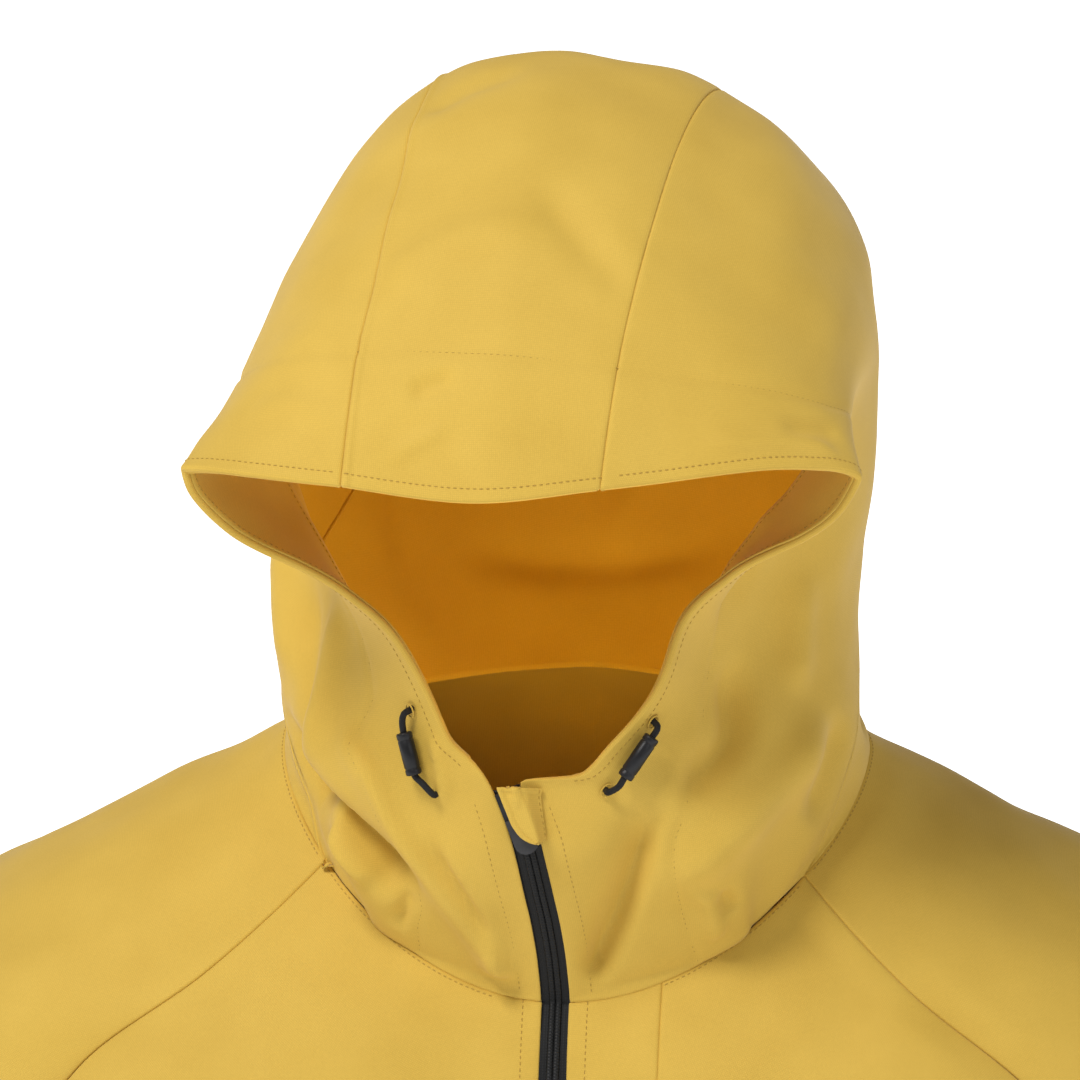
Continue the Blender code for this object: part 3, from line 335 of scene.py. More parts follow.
def sleeve_ring(along, turn):
    """Sleeve points at a distance along the arm. turn 0 and 1 are the underarm, 0.5 is outermost."""
    table = np.array(SLEEVE, float)
    _, half_width, half_depth, forward = akima(table[:, 0], table, [along])[0]
    tilt = math.radians(ARM_TILT_DEG)
    outward = np.array((math.cos(tilt), 0, math.sin(tilt)))
    down = np.array((math.sin(tilt), 0, -math.cos(tilt)))
    centre = ARMPIT + outward * (SLEEVE[0][1] + ARMPIT_EASE) + down * along + np.array((0, forward, 0))
    a = 2 * math.pi * turn
    return (centre - np.cos(a)[:, None] * half_width * outward
            - np.sin(a)[:, None] * half_depth * np.array((0, 1, 0)))


def sleeve_points(raglan_rows, sleeve_rows, turn):
    """Sleeve on the wearer's left: rows from neck seam to cuff, columns from front round to back."""
    rows = np.linspace(0, 1, raglan_rows + 1)
    top = neck_seam(lerp(RAGLAN_FRONT_DEG, RAGLAN_BACK_DEG, turn))
    ease = (sleeve_ring(0, np.array([0.0]))[0] - ARMPIT) * rows[:, None] ** 6
    upper = coons(top, sleeve_ring(0, turn), raglan("front", rows) + ease, raglan("back", rows) + ease)
    middle = sleeve_ring(0, np.array([0.5]))[0]
    shoulder = along_points([neck_seam((RAGLAN_FRONT_DEG + RAGLAN_BACK_DEG) / 2), *SHOULDER, middle], rows)
    chord = np.array([[np.interp(0.5, turn, row[:, k]) for k in range(3)] for row in upper])
    upper = upper + (shoulder - chord)[:, None] * np.sin(math.pi * turn)[:, None] ** 2
    distances = np.linspace(0, SLEEVE[-1][0], sleeve_rows + 1)[1:]
    return np.vstack([upper, np.array([sleeve_ring(d, turn) for d in distances])])


def zip_surface(u, x):
    """Point of the hood's surface at the zip, x across from the zip's middle at the share u."""
    left, right = hood_points([2 - u, u], [0, 0])
    half = np.linalg.norm(right - left) / 2
    if abs(x) <= half:
        return (left + right) / 2 + (right - left) / 2 * x / half
    edge, inner = hood_points([u if x > 0 else 2 - u] * 2, [0, 0.036])
    return lerp(edge, inner, (abs(x) - half) / np.linalg.norm(inner - edge))


def zip_frame():
    """Place and axes of the slider: across, inwards, up the zip."""
    top, lower = ZIP_ROWS_U[:2]
    middle = lerp(zip_surface(lower, 0), zip_surface(top, 0), SLIDER_SHARE)
    across = zip_surface(lower, 1) - zip_surface(lower, -1)
    up = zip_surface(top, 0) - zip_surface(lower, 0)
    up /= np.linalg.norm(up)
    across -= up * (across @ up)
    across /= np.linalg.norm(across)
    return middle, across, np.cross(up, across), up


def zip_strip(front, places):
    """Grid of the cloth surface along the zip, from its top to its foot, at places across from -x to x."""
    us = np.linspace(ZIP_ROWS_U[0], 0, 60)
    hood = [[zip_surface(u, x) for x in places] for u in us[1:]]
    rows = front[(front[:, 0, 2] > ZIP_FOOT_Z)][1:]
    edge = at_x(rows, ZIP_HALF_GAP)
    body = []
    for x in places:
        column = at_x(rows, abs(x)) if abs(x) > ZIP_HALF_GAP else edge * (0, 1, 1) + (abs(x), 0, 0)
        body.append(column * (math.copysign(1, x), 1, 1))
    return np.vstack([hood, np.stack(body, axis=1)])


# ---------------------------------------------------------------- cloth

def unit(vectors):
    return vectors / np.maximum(np.linalg.norm(vectors, axis=-1, keepdims=True), 1e-9)


def normals(points, sign=1):
    """Outward normals of a grid. sign says which way rows x columns points."""
    return sign * unit(np.cross(np.gradient(points, axis=0), np.gradient(points, axis=1)))


def edge_first(grid, edge):
    """The grid seen so that the named edge is its first row."""
    across = grid.swapaxes(0, 1)
    views = {"top": grid, "bottom": grid[::-1], "left": across, "right": across[::-1]}
    return views[edge]


def edge_back(grid, edge):
    other = grid[::-1]
    back = {"top": grid, "bottom": other, "left": grid.swapaxes(0, 1), "right": other.swapaxes(0, 1)}
    return back[edge]


def with_steps(points, edge, inset, steps):
    """The grid with its edge drawn in by inset, and extra rows at the steps from it."""
    grid = edge_first(points, edge)
    gap = grid[1] - grid[0]
    length = np.linalg.norm(gap[..., :3], axis=-1, keepdims=True)
    rows = []
    for k, step in enumerate(steps):
        share = np.minimum((step + inset) / np.maximum(length, 1e-6), (k + 0.6) / (len(steps) + 0.6))
        rows.append(grid[0] + gap * share)
    return edge_back(np.concatenate([np.array(rows), grid[1:]]), edge)


def distances(points, edge):
    """Distance along the surface of each point of a grid from the named edge."""
    grid = edge_first(points, edge)
    runs = np.linalg.norm(np.diff(grid, axis=0), axis=-1)
    return edge_back(np.concatenate([np.zeros((1, grid.shape[1])), np.cumsum(runs, axis=0)]), edge)


def line_from(points, edge, distance):
    """The line that runs along a grid at a distance from its edge."""
    grid = edge_first(points, edge)
    far = edge_first(distances(points, edge)[..., None], edge)[..., 0]
    return np.array([[np.interp(distance, far[:, c], grid[:, c, k]) for k in range(grid.shape[2])]
                     for c in range(grid.shape[1])])


class Crease:
    """A fold along a path: how far it lifts (or sinks, below 0) and how it falls off on either side."""

    def __init__(self, path, lift, left, right=None, fade=(0.2, 0.2), as_given=False):
        smoothed = len(path) > 2 and not as_given
        self.path = along_points(path, np.linspace(0, 1, 24)) if smoothed else np.array(path, float)
        self.lift, self.left, self.right, self.fade = lift, left, right or left, fade

    def __call__(self, points, out):
        """The lift at each point, whose outward way says which side of the path is its left."""
        reach = 4 * max(self.left, self.right)
        low, high = self.path.min(0) - reach, self.path.max(0) + reach
        close = np.all((points > low) & (points < high), axis=1)
        if not close.any():
            return np.zeros(len(points))
        own, own_out = points[close], out[close]
        best = np.full(len(own), 1e9)
        best_side, best_share = np.zeros(len(own)), np.zeros(len(own))
        runs = np.linalg.norm(np.diff(self.path, axis=0), axis=1)
        starts = np.concatenate([[0], np.cumsum(runs)])
        for k, run in enumerate(runs):
            a, b = self.path[k], self.path[k + 1]
            t = np.clip((own - a) @ (b - a) / run**2, 0, 1)
            gap = own - (a + t[:, None] * (b - a))
            far = np.linalg.norm(gap, axis=1)
            better = far < best
            turn = np.einsum("nc,nc->n", np.cross((b - a) / run, gap), own_out)
            best_side = np.where(better, turn, best_side)
            best_share = np.where(better, (starts[k] + t * run) / starts[-1], best_share)
            best = np.where(better, far, best)
        width = np.where(best_side > 0, self.left, self.right)
        ends = smooth(best_share / self.fade[0]) * smooth((1 - best_share) / self.fade[1])
        lift = np.zeros(len(points))
        lift[close] = FOLD_GAIN * self.lift * np.exp(-(best / width) ** 2) * ends
        return lift


def ripple(points, length, lift, seed):
    """Soft unevenness of a surface."""
    offset = Vector((seed * 7.3, seed * 3.1, seed * 5.7))
    return np.array([noise.noise(Vector(p / length) + offset) for p in points]) * lift


def relief(points, out, creases, calm):
    """How far each point of a grid moves out. calm is 0 where a seam holds the cloth, 1 where it is free."""
    flat, flat_out = points.reshape(-1, 3), out.reshape(-1, 3)
    lift = ripple(flat, 75.0, 3.6, 1) + ripple(flat, 30.0, 1.5, 2)
    for crease in creases:
        lift += crease(flat, flat_out)
    return lift.reshape(points.shape[:2]) * calm


def puckers(points, edge, amount=0.3, period=9.0, reach=6.0):
    """Small puckers that a line of sewing draws into the cloth beside it."""
    far = distances(points, edge)
    flat = points.reshape(-1, 3)
    waves = np.array([noise.noise(Vector(p / period)) for p in flat]).reshape(points.shape[:2])
    return amount * waves * np.exp(-far / reach) * smooth(far / 1.5)


# ---------------------------------------------------------------- Blender objects

def linked(name, mesh, finish, body):
    """An object of a mesh, in the scene, with its finish and the body it rides on."""
    mesh.materials.append(finish)
    obj = bpy.data.objects.new(name, mesh)
    bpy.context.scene.collection.objects.link(obj)
    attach(obj, body)
    return obj


def cloth_places(points):
    """UVs of a grid of points: metres along the cloth from its middle column and its first row."""
    down = distances(points, "top") * MM
    steps = np.linalg.norm(np.diff(points, axis=1), axis=-1)
    run = np.concatenate([np.zeros((len(points), 1)), np.cumsum(steps, axis=1)], axis=1)
    middle = points.shape[1] // 2
    return np.stack([(run - run[:, middle:middle + 1]) * MM, down], axis=-1).reshape(-1, 2)


def open_edges(faces):
    """The edges that only one of the faces has, in the order of their first face."""
    edges = {}
    for face in faces:
        for k in range(4):
            pair = (int(face[k]), int(face[(k + 1) % 4]))
            if edges.pop(pair[::-1], None) is None:
                edges[pair] = True
    return edges


def drop_loose(mesh, used):
    """Removes the points that no face uses."""
    loose = [v for v in range(len(mesh.vertices)) if v not in used]
    made = bmesh.new()
    made.from_mesh(mesh)
    made.verts.ensure_lookup_table()
    bmesh.ops.delete(made, geom=[made.verts[v] for v in loose], context="VERTS")
    made.to_mesh(mesh)
    made.free()


def shell(name, points, out, thickness, finish, body, holes=None):
    """A closed thin shell over a grid of points, with UVs in metres. holes marks faces to leave out."""
    rows, columns = points.shape[:2]
    outer, inner = points + out * (thickness / 2), points - out * (thickness / 2)
    index = np.arange(rows * columns).reshape(rows, columns)
    a, b, c, d = index[:-1, :-1], index[:-1, 1:], index[1:, 1:], index[1:, :-1]
    kept = np.ones(a.shape, bool) if holes is None else ~holes
    front = np.stack([a, d, c, b], axis=-1)[kept]
    facing = np.cross(np.gradient(points, axis=0), np.gradient(points, axis=1))
    if np.sum(facing * out) < 0:
        front = front[:, ::-1]
    count = rows * columns
    rim = np.array([(q, p, p + count, q + count) for p, q in open_edges(front)])
    faces = np.concatenate([front, front[:, ::-1] + count, rim])
    corners = np.concatenate([outer.reshape(-1, 3), inner.reshape(-1, 3)]) * MM
    places = cloth_places(points)

    mesh = bpy.data.meshes.new(name)
    mesh.vertices.add(len(corners))
    mesh.vertices.foreach_set("co", corners.astype(np.float32).ravel())
    mesh.loops.add(faces.size)
    mesh.loops.foreach_set("vertex_index", faces.astype(np.int32).ravel())
    mesh.polygons.add(len(faces))
    mesh.polygons.foreach_set("loop_start", np.arange(0, faces.size, 4, dtype=np.int32))
    layer = mesh.uv_layers.new(name="cloth")
    layer.data.foreach_set("uv", np.concatenate([places, places])[faces.ravel()].astype(np.float32).ravel())
    mesh.update(calc_edges=True)
    mesh.validate()
    mesh.shade_smooth()
    obj = linked(name, mesh, finish, body)
    if holes is not None:
        drop_loose(mesh, set(faces.ravel().tolist()))
    return obj


def from_parts(name, points, faces, finish, body):
    mesh = bpy.data.meshes.new(name)
    mesh.from_pydata((np.asarray(points) * MM).tolist(), [], faces)
    mesh.shade_smooth()
    return linked(name, mesh, finish, body)


def tube_faces(rings, sides, closed):
    """Faces between rings of points, each with the same number of sides."""
    faces = []
    for ring in range(rings if closed else rings - 1):
        after = (ring + 1) % rings
        for k in range(sides):
            n = (k + 1) % sides
            faces.append((ring * sides + k, ring * sides + n, after * sides + n, after * sides + k))
    return faces


def bead():
    """One stitch of unit size along x, its two ends sinking into the cloth: points and faces."""
    sides = 6
    rings = ((-0.5, 0.45, -0.5), (-0.34, 0.85, 0.05), (0.0, 1.0, 0.32), (0.34, 0.85, 0.05), (0.5, 0.45, -0.5))
    points = []
    for x, size, rise in rings:
        for k in range(sides):
            angle = 2 * math.pi * k / sides
            points.append((x, 0.5 * size * math.cos(angle), rise + 0.5 * size * math.sin(angle)))
    last = (len(rings) - 1) * sides
    caps = [tuple(range(sides - 1, -1, -1)), tuple(range(last, last + sides))]
    return np.array(points), tube_faces(len(rings), sides, False) + caps


def stitches(name, runs, finish):
    """A line of thread stitches along each run, which is a pair of arrays: points and normals."""
    shape, faces = bead()
    pitch, points = STITCH_LENGTH + STITCH_GAP, []
    for line, out in runs:
        lengths = np.concatenate([[0], np.cumsum(np.linalg.norm(np.diff(line, axis=0), axis=1))])
        for k in range(int(lengths[-1] // pitch)):
            middle = (k + 0.5) * pitch
            at = [np.array([np.interp(s, lengths, line[:, i]) for i in range(3)])
                  for s in (middle - STITCH_LENGTH / 2, middle, middle + STITCH_LENGTH / 2)]
            up = unit(np.array([np.interp(middle, lengths, out[:, i]) for i in range(3)]))
            along = unit(at[2] - at[0])
            side = np.cross(up, along)
            here = at[1] + np.outer(shape[:, 0] * STITCH_LENGTH, along)
            here = here + np.outer(shape[:, 1] * STITCH_WIDTH, side)
            points.append(here + np.outer(shape[:, 2] * STITCH_WIDTH * STITCH_FLATTEN, up))
    all_faces = [tuple(v + k * len(shape) for v in face) for k in range(len(points)) for face in faces]
    return from_parts(name, np.concatenate(points), all_faces, finish, "garment")


# ---------------------------------------------------------------- materials

def nodes_of(name, roughness, metallic=0.0, sheen=0.0):
    """A material with its node tree and Principled shader."""
    made = bpy.data.materials.new(name)
    made.use_nodes = True
    tree = made.node_tree
    shader = tree.nodes["Principled BSDF"]
    shader.inputs["Roughness"].default_value = roughness
    shader.inputs["Metallic"].default_value = metallic
    shader.inputs["Sheen Weight"].default_value = sheen
    shader.inputs["Sheen Roughness"].default_value = 0.45
    shader.inputs["Specular IOR Level"].default_value = 0.3
    return made, tree, shader


def add(tree, kind, **inputs):
    node = tree.nodes.new(kind)
    for key, value in inputs.items():
        setattr(node, key, value)
    return node


def noise_of(tree, coordinates, scale, detail=3.0):
    """A noise texture."""
    node = add(tree, "ShaderNodeTexNoise")
    node.inputs["Scale"].default_value = scale
    node.inputs["Detail"].default_value = detail
    tree.links.new(coordinates, node.inputs["Vector"])
    return node.outputs["Fac"]


def bands_of(tree, coordinates, scale, direction, distortion=0.4):
    """Even bands across one way of the coordinates."""
    node = add(tree, "ShaderNodeTexWave", wave_type="BANDS", bands_direction=direction)
    node.inputs["Scale"].default_value = scale
    node.inputs["Distortion"].default_value = distortion
    node.inputs["Detail"].default_value = 1.0
    tree.links.new(coordinates, node.inputs["Vector"])
    return node.outputs["Fac"]


def math_of(tree, operation, first, second):
    node = add(tree, "ShaderNodeMath", operation=operation)
    for socket, value in zip(node.inputs, (first, second)):
        if isinstance(value, (int, float)):
            socket.default_value = value
        else:
            tree.links.new(value, socket)
    return node.outputs[0]


def ramp_of(tree, value, low, high, ends=(0.3, 0.7)):
    """A colour between low and high."""
    node = add(tree, "ShaderNodeValToRGB")
    for element, place, colour in zip(node.color_ramp.elements, ends, (low, high)):
        element.position = place
        element.color = (*colour, 1)
    tree.links.new(value, node.inputs["Fac"])
    return node.outputs["Color"]


def mixed(tree, share, first, second):
    node = add(tree, "ShaderNodeMix", data_type="RGBA", blend_type="MULTIPLY")
    node.inputs[0].default_value = share
    tree.links.new(first, node.inputs[6])
    tree.links.new(second, node.inputs[7])
    return node.outputs[2]


def bumped(tree, shader, height, strength, distance):
    """Height as bump on a shader."""
    bump = add(tree, "ShaderNodeBump")
    bump.inputs["Strength"].default_value = strength
    bump.inputs["Distance"].default_value = distance
    tree.links.new(height, bump.inputs["Height"])
    tree.links.new(bump.outputs["Normal"], shader.inputs["Normal"])


def woven(name, low, high, thread_mm=0.75, sheen=0.10, roughness=0.74):
    """Close-woven softshell cloth: fine threads both ways, a soft sheen, slight unevenness of colour."""
    made, tree, shader = nodes_of(name, roughness, sheen=sheen)
    place = add(tree, "ShaderNodeTexCoord")
    uv, solid = place.outputs["UV"], place.outputs["Object"]
    scale = BAND / (thread_mm * MM)
    warp, weft = bands_of(tree, uv, scale, "X"), bands_of(tree, uv, scale, "Y")
    threads = math_of(tree, "MULTIPLY", warp, weft)
    cloudy = noise_of(tree, solid, 28.0)
    fibres = noise_of(tree, solid, 1500.0, 2.0)
    colour = ramp_of(tree, cloudy, low, high)
    dark = ramp_of(tree, threads, (0.90, 0.89, 0.86), (1.0, 1.0, 1.0), (0.0, 0.6))
    speck = ramp_of(tree, fibres, (0.93, 0.92, 0.90), (1.0, 1.0, 1.0))
    tree.links.new(mixed(tree, 1.0, mixed(tree, 1.0, colour, dark), speck), shader.inputs["Base Color"])
    height = math_of(tree, "ADD", threads, math_of(tree, "MULTIPLY", fibres, 0.5))
    bumped(tree, shader, height, 0.22, 0.00012)
    return made


def plastic(name, low, high, roughness, metallic=0.0, grain=900.0):
    """Painted metal or moulded plastic with a fine grain and worn, uneven gloss."""
    made, tree, shader = nodes_of(name, roughness, metallic)
    place = add(tree, "ShaderNodeTexCoord").outputs["Object"]
    grains = noise_of(tree, place, grain)
    worn = noise_of(tree, place, 120.0)
    tree.links.new(ramp_of(tree, worn, low, high), shader.inputs["Base Color"])
    rough = add(tree, "ShaderNodeMapRange")
    rough.inputs["To Min"].default_value = roughness - 0.08
    rough.inputs["To Max"].default_value = roughness + 0.10
    tree.links.new(worn, rough.inputs["Value"])
    tree.links.new(rough.outputs["Result"], shader.inputs["Roughness"])
    bumped(tree, shader, grains, 0.15, 0.00008)
    return made


def corded(name, low, high, pitch_mm):
    """Black ribbed yarn, for tape and braid."""
    made, tree, shader = nodes_of(name, 0.6, sheen=0.02)
    place = add(tree, "ShaderNodeTexCoord")
    scale = BAND / (pitch_mm * MM)
    ribs = bands_of(tree, place.outputs["UV"], scale, "Y", 0.2)
    cross = bands_of(tree, place.outputs["UV"], scale, "X", 0.2)
    yarn = math_of(tree, "MULTIPLY", ribs, cross)
    tree.links.new(ramp_of(tree, yarn, low, high), shader.inputs["Base Color"])
    bumped(tree, shader, yarn, 0.4, 0.00015)
    return made


# ---------------------------------------------------------------- camera and cords

def point_camera(azimuth, elevation, distance, aside, raised, lens):
    """A camera that looks from azimuth and elevation, moved aside and up in its own axes."""
    a, e = math.radians(azimuth), math.radians(elevation)
    back = Vector((math.sin(a) * math.cos(e), -math.cos(a) * math.cos(e), math.sin(e)))
    right = Vector((math.cos(a), math.sin(a), 0))
    up = back.cross(right)
    data = bpy.data.cameras.new("camera")
    data.lens = lens
    data.sensor_width = 36.0
    data.clip_start, data.clip_end = 0.1, 30.0
    camera = bpy.data.objects.new("camera", data)
    bpy.context.scene.collection.objects.link(camera)
    camera.matrix_world = Matrix((
        (right.x, up.x, back.x, 0), (right.y, up.y, back.y, 0), (right.z, up.z, back.z, 0), (0, 0, 0, 1)))
    camera.location = back * distance + right * aside + up * raised
    bpy.context.scene.camera = camera


def lifted(route):
    """A cord's route: hood surface points raised along the surface normal, and the normals."""
    points, outs = [], []
    for u, v, lift in route:
        here, along, back = hood_points([u, u + 0.004, u], [v, v, v + 0.004])
        normal = unit(np.cross(back - here, along - here))
        points.append(here + normal * lift)
        outs.append(normal)
    return np.array(points), np.array(outs)


def lathe(profile, sides):
    """Points and faces of a closed profile of (radius, along) turned round the z axis."""
    points = [(r * math.cos(2 * math.pi * k / sides), r * math.sin(2 * math.pi * k / sides), z)
              for r, z in profile for k in range(sides)]
    return np.array(points), tube_faces(len(profile), sides, True)


def add_barrel(side, start, end, finish):
    """The cord's barrel: a lathed tube with rounded ends and a groove beside each of them."""
    axis = unit(end - start)
    half = np.linalg.norm(end - start) / 2 - 0.2
    profile = [(CORD_RADIUS + 0.25, -half), (BARREL_RADIUS * 0.72, -half)]
    for k in range(5):
        angle = math.pi / 2 * k / 4
        profile.append((BARREL_RADIUS - BARREL_ROUND + BARREL_ROUND * math.sin(angle),
                        -half + BARREL_ROUND - BARREL_ROUND * math.cos(angle)))
    profile += [(BARREL_RADIUS, -half + 2.2), (BARREL_RADIUS - BARREL_GROOVE, -half + 2.5),
                (BARREL_RADIUS - BARREL_GROOVE, -half + 2.9), (BARREL_RADIUS, -half + 3.2)]
    profile += [(r, -z) for r, z in profile[::-1]]
    shape, faces = lathe(profile, 40)
    turn = np.array(Vector((0, 0, 1)).rotation_difference(Vector(axis.tolist())).to_matrix())
    barrel = from_parts("barrel_" + side, shape @ turn.T + (start + end) / 2, faces, finish, "garment")
    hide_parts("cord_barrel_" + side)
    return barrel


def add_lip(name, at, out, along, finish):
    """The stitched lip of a cord's slit: a flat ring on the cloth."""
    across = np.cross(out, along)
    around, section, ring = 32, 8, []
    for k in range(around):
        angle = 2 * math.pi * k / around
        centre = along * math.cos(angle) * 2.7 + across * math.sin(angle) * 1.75
        way = unit(along * math.cos(angle) + across * math.sin(angle))
        for m in range(section):
            turn = 2 * math.pi * m / section
            ring.append(at + out * 0.25 + centre + way * 0.34 * math.cos(turn) + out * 0.3 * math.sin(turn))
    lip = from_parts(name, ring, tube_faces(around, section, True), finish, "garment")


def add_cord(side, route, finish, barrel_finish, lip_finish):
    """A drawcord on its route, with its barrel and the lips of its two slits."""
    points, outs = lifted(route)
    first, last = CORD_BARREL_ROWS
    start, end = points[first], points[last]
    barrel = add_barrel(side, start, end, barrel_finish)

    curve = bpy.data.curves.new("cord_" + side, "CURVE")
    curve.dimensions = "3D"
    curve.bevel_depth = CORD_RADIUS * MM
    curve.bevel_resolution = 4
    curve.use_fill_caps = True
    inner = [lerp(start, end, t) for t in np.linspace(0, 1, 6)]
    fine = along_points(np.array([*points[:first], *inner, *points[last + 1:]]), np.linspace(0, 1, 36))
    spline = curve.splines.new("POLY")
    spline.points.add(len(fine) - 1)
    for knot, point in zip(spline.points, fine):
        knot.co = (*(point * MM), 1)
    cord = linked("cord_" + side, curve, finish, "garment")
    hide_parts("drawcord_" + side)

    for place, k in (("top", 1), ("foot", -2)):
        along = unit(end - start)
        along = unit(along - outs[k] * (along @ outs[k]))
        add_lip(f"cord_slit_{side}_{place}", points[k] - outs[k] * 1.5, outs[k], along, lip_finish)


yellow = woven("shell_cloth", (0.64, 0.415, 0.062), (0.69, 0.455, 0.074))
inside = woven("facing_cloth", (0.63, 0.405, 0.060), (0.68, 0.445, 0.072))
thread = woven("thread_yellow", (0.44, 0.27, 0.040), (0.49, 0.30, 0.048), 0.3)
tape_black = corded("zip_tape_black", (0.003, 0.003, 0.003), (0.009, 0.009, 0.009), 1.1)
coil_black = plastic("zip_coil_black", (0.004, 0.004, 0.004), (0.009, 0.009, 0.009), 0.5)
metal = plastic("slider_painted", (0.012, 0.012, 0.013), (0.028, 0.028, 0.030), 0.42, 0.3)
grip = plastic("pull_grey", (0.030, 0.030, 0.032), (0.052, 0.051, 0.053), 0.62)
cord_black = corded("cord_braid", (0.004, 0.004, 0.005), (0.014, 0.014, 0.015), 0.9)
barrel_black = plastic("barrel_black", (0.007, 0.007, 0.008), (0.014, 0.014, 0.016), 0.40)

point_camera(5, 18, 2.2, -0.0144, 0.080, 183.3)
add_cord("left", CORD_LEFT, cord_black, barrel_black, yellow)
add_cord("right", CORD_RIGHT, cord_black, barrel_black, yellow)


# ---------------------------------------------------------------- hood

def on_hood(*places):
    u, v = zip(*places)
    return hood_points(np.array(u), np.array(v))


HOOD_CREASES = [
    # wearer's right of the zip: the deep trough over the neck seam,
    # and two ridges that rise from the zip's foot
    Crease(on_hood((1.74, 0.46), (1.79, 0.36), (1.77, 0.20), (1.815, 0.13), (1.855, 0.095), (1.90, 0.075)),
           -8.5, 8.0, 9.0, (0.25, 0.2)),
    Crease(on_hood((1.80, 0.22), (1.835, 0.19), (1.862, 0.15), (1.885, 0.115)), 3.2, 5.5, 4.5, (0.3, 0.3)),
    Crease(on_hood((1.665, 0.12), (1.715, 0.08), (1.785, 0.072), (1.86, 0.052), (1.912, 0.040),
                   (1.985, 0.020)),
           3.3, 4.0, 8.0, (0.2, 0.10)),
    Crease(on_hood((1.78, 0.048), (1.84, 0.034), (1.90, 0.026), (1.945, 0.024), (1.985, 0.020)),
           2.0, 3.8, 4.5, (0.35, 0.10)),
    Crease(on_hood((1.79, 0.058), (1.85, 0.043), (1.905, 0.032), (1.95, 0.028)), -1.5, 4.0, 4.0, (0.3, 0.3)),
    Crease(on_hood((1.88, 0.082), (1.925, 0.104), (1.965, 0.126)), -2.0, 3.5, 3.5, (0.3, 0.4)),
    Crease(on_hood((1.655, 0.010), (1.69, 0.016), (1.735, 0.026), (1.775, 0.038)), 1.6, 3.0, 2.2, (0.3, 0.3)),
    Crease(on_hood((1.740, 0.006), (1.775, 0.013)), -1.0, 2.2, 2.2, (0.4, 0.4)),
    # wearer's left: the sharp valley from the zip's foot, and the broad ridge beside it
    Crease(on_hood((0.012, 0.012), (0.066, 0.032), (0.122, 0.050), (0.19, 0.072), (0.232, 0.084),
                   (0.265, 0.108)),
           -5.2, 10.0, 3.4, (0.12, 0.3)),
    Crease(on_hood((0.10, 0.085), (0.16, 0.115), (0.208, 0.166), (0.244, 0.279), (0.283, 0.373),
                   (0.33, 0.40)),
           3.4, 9.0, 11.0, (0.25, 0.25)),
    Crease(on_hood((0.259, 0.108), (0.301, 0.148), (0.347, 0.194), (0.40, 0.178), (0.46, 0.142)),
           -4.2, 8.0, 7.0, (0.3, 0.3)),
    Crease(on_hood((0.128, 0.098), (0.108, 0.122), (0.085, 0.124), (0.03, 0.124)), 1.8, 3.8, 3.8, (0.3, 0.2)),
    Crease(on_hood((0.12, 0.135), (0.10, 0.150), (0.068, 0.160)), -1.6, 4.0, 4.0, (0.35, 0.3)),
    # soft upright folds at the cheeks, and more of the kind round the back
    Crease(on_hood((1.50, 0.10), (1.58, 0.13), (1.66, 0.16), (1.73, 0.20)), 2.6, 6.0, 8.0, (0.3, 0.3)),
    Crease(on_hood((1.50, 0.20), (1.58, 0.21), (1.66, 0.23), (1.74, 0.28)), -2.8, 8.0, 8.0, (0.3, 0.3)),
    Crease(on_hood((1.47, 0.31), (1.57, 0.32), (1.68, 0.36)), 2.4, 9.0, 9.0, (0.35, 0.3)),
    Crease(on_hood((0.52, 0.24), (0.44, 0.27), (0.36, 0.30)), 2.2, 8.0, 8.0, (0.35, 0.3)),
    Crease(on_hood((0.60, 0.10), (0.53, 0.12), (0.47, 0.10)), -1.8, 7.0, 7.0, (0.3, 0.3)),
    Crease(on_hood((0.30, 0.50), (0.22, 0.48), (0.14, 0.42)), -2.4, 8.0, 8.0, (0.3, 0.3)),
    Crease(on_hood((1.72, 0.52), (1.80, 0.47), (1.87, 0.40)), -2.2, 8.0, 8.0, (0.3, 0.3)),
    Crease(on_hood((0.55, 0.80), (0.40, 0.86), (0.25, 0.90)), -3.0, 9.0, 9.0, (0.3, 0.3)),
    Crease(on_hood((1.45, 0.82), (1.60, 0.86), (1.76, 0.90)), -2.6, 9.0, 9.0, (0.3, 0.3)),
    Crease(on_hood((0.85, 0.90), (1.00, 0.93), (1.18, 0.91)), 2.2, 8.0, 8.0, (0.3, 0.3)),
    Crease(on_hood((0.92, 0.78), (0.97, 0.86), (0.99, 0.94)), -2.0, 9.0, 9.0, (0.3, 0.3)),
    # the brim
    Crease(on_hood((1.055, 0.022), (1.028, 0.044), (1.010, 0.054)), 0.9, 3.0, 3.0, (0.3, 0.4)),
    Crease(on_hood((1.045, 0.072), (1.028, 0.082), (1.008, 0.090)), -1.2, 4.0, 4.0, (0.3, 0.4)),
    Crease(on_hood((0.856, 0.020), (0.843, 0.038), (0.826, 0.037), (0.764, 0.037), (0.722, 0.012)),
           0.9, 2.8, 3.6, (0.25, 0.2)),
    Crease(on_hood((0.80, 0.060), (0.76, 0.064), (0.72, 0.058)), -0.9, 4.0, 4.0, (0.3, 0.3)),
    Crease(on_hood((1.20, 0.055), (1.14, 0.062), (1.09, 0.05)), 0.7, 5.0, 5.0, (0.3, 0.3)),
    Crease(on_hood((1.085, 0.16), (1.03, 0.20), (0.97, 0.22)), 1.6, 8.0, 8.0, (0.25, 0.35)),
    Crease(on_hood((0.91, 0.17), (0.955, 0.215), (0.99, 0.26)), -1.6, 7.0, 7.0, (0.2, 0.35)),
    Crease(on_hood((1.085, 0.33), (1.05, 0.36), (1.01, 0.37)), -1.4, 7.0, 7.0, (0.2, 0.35)),
]

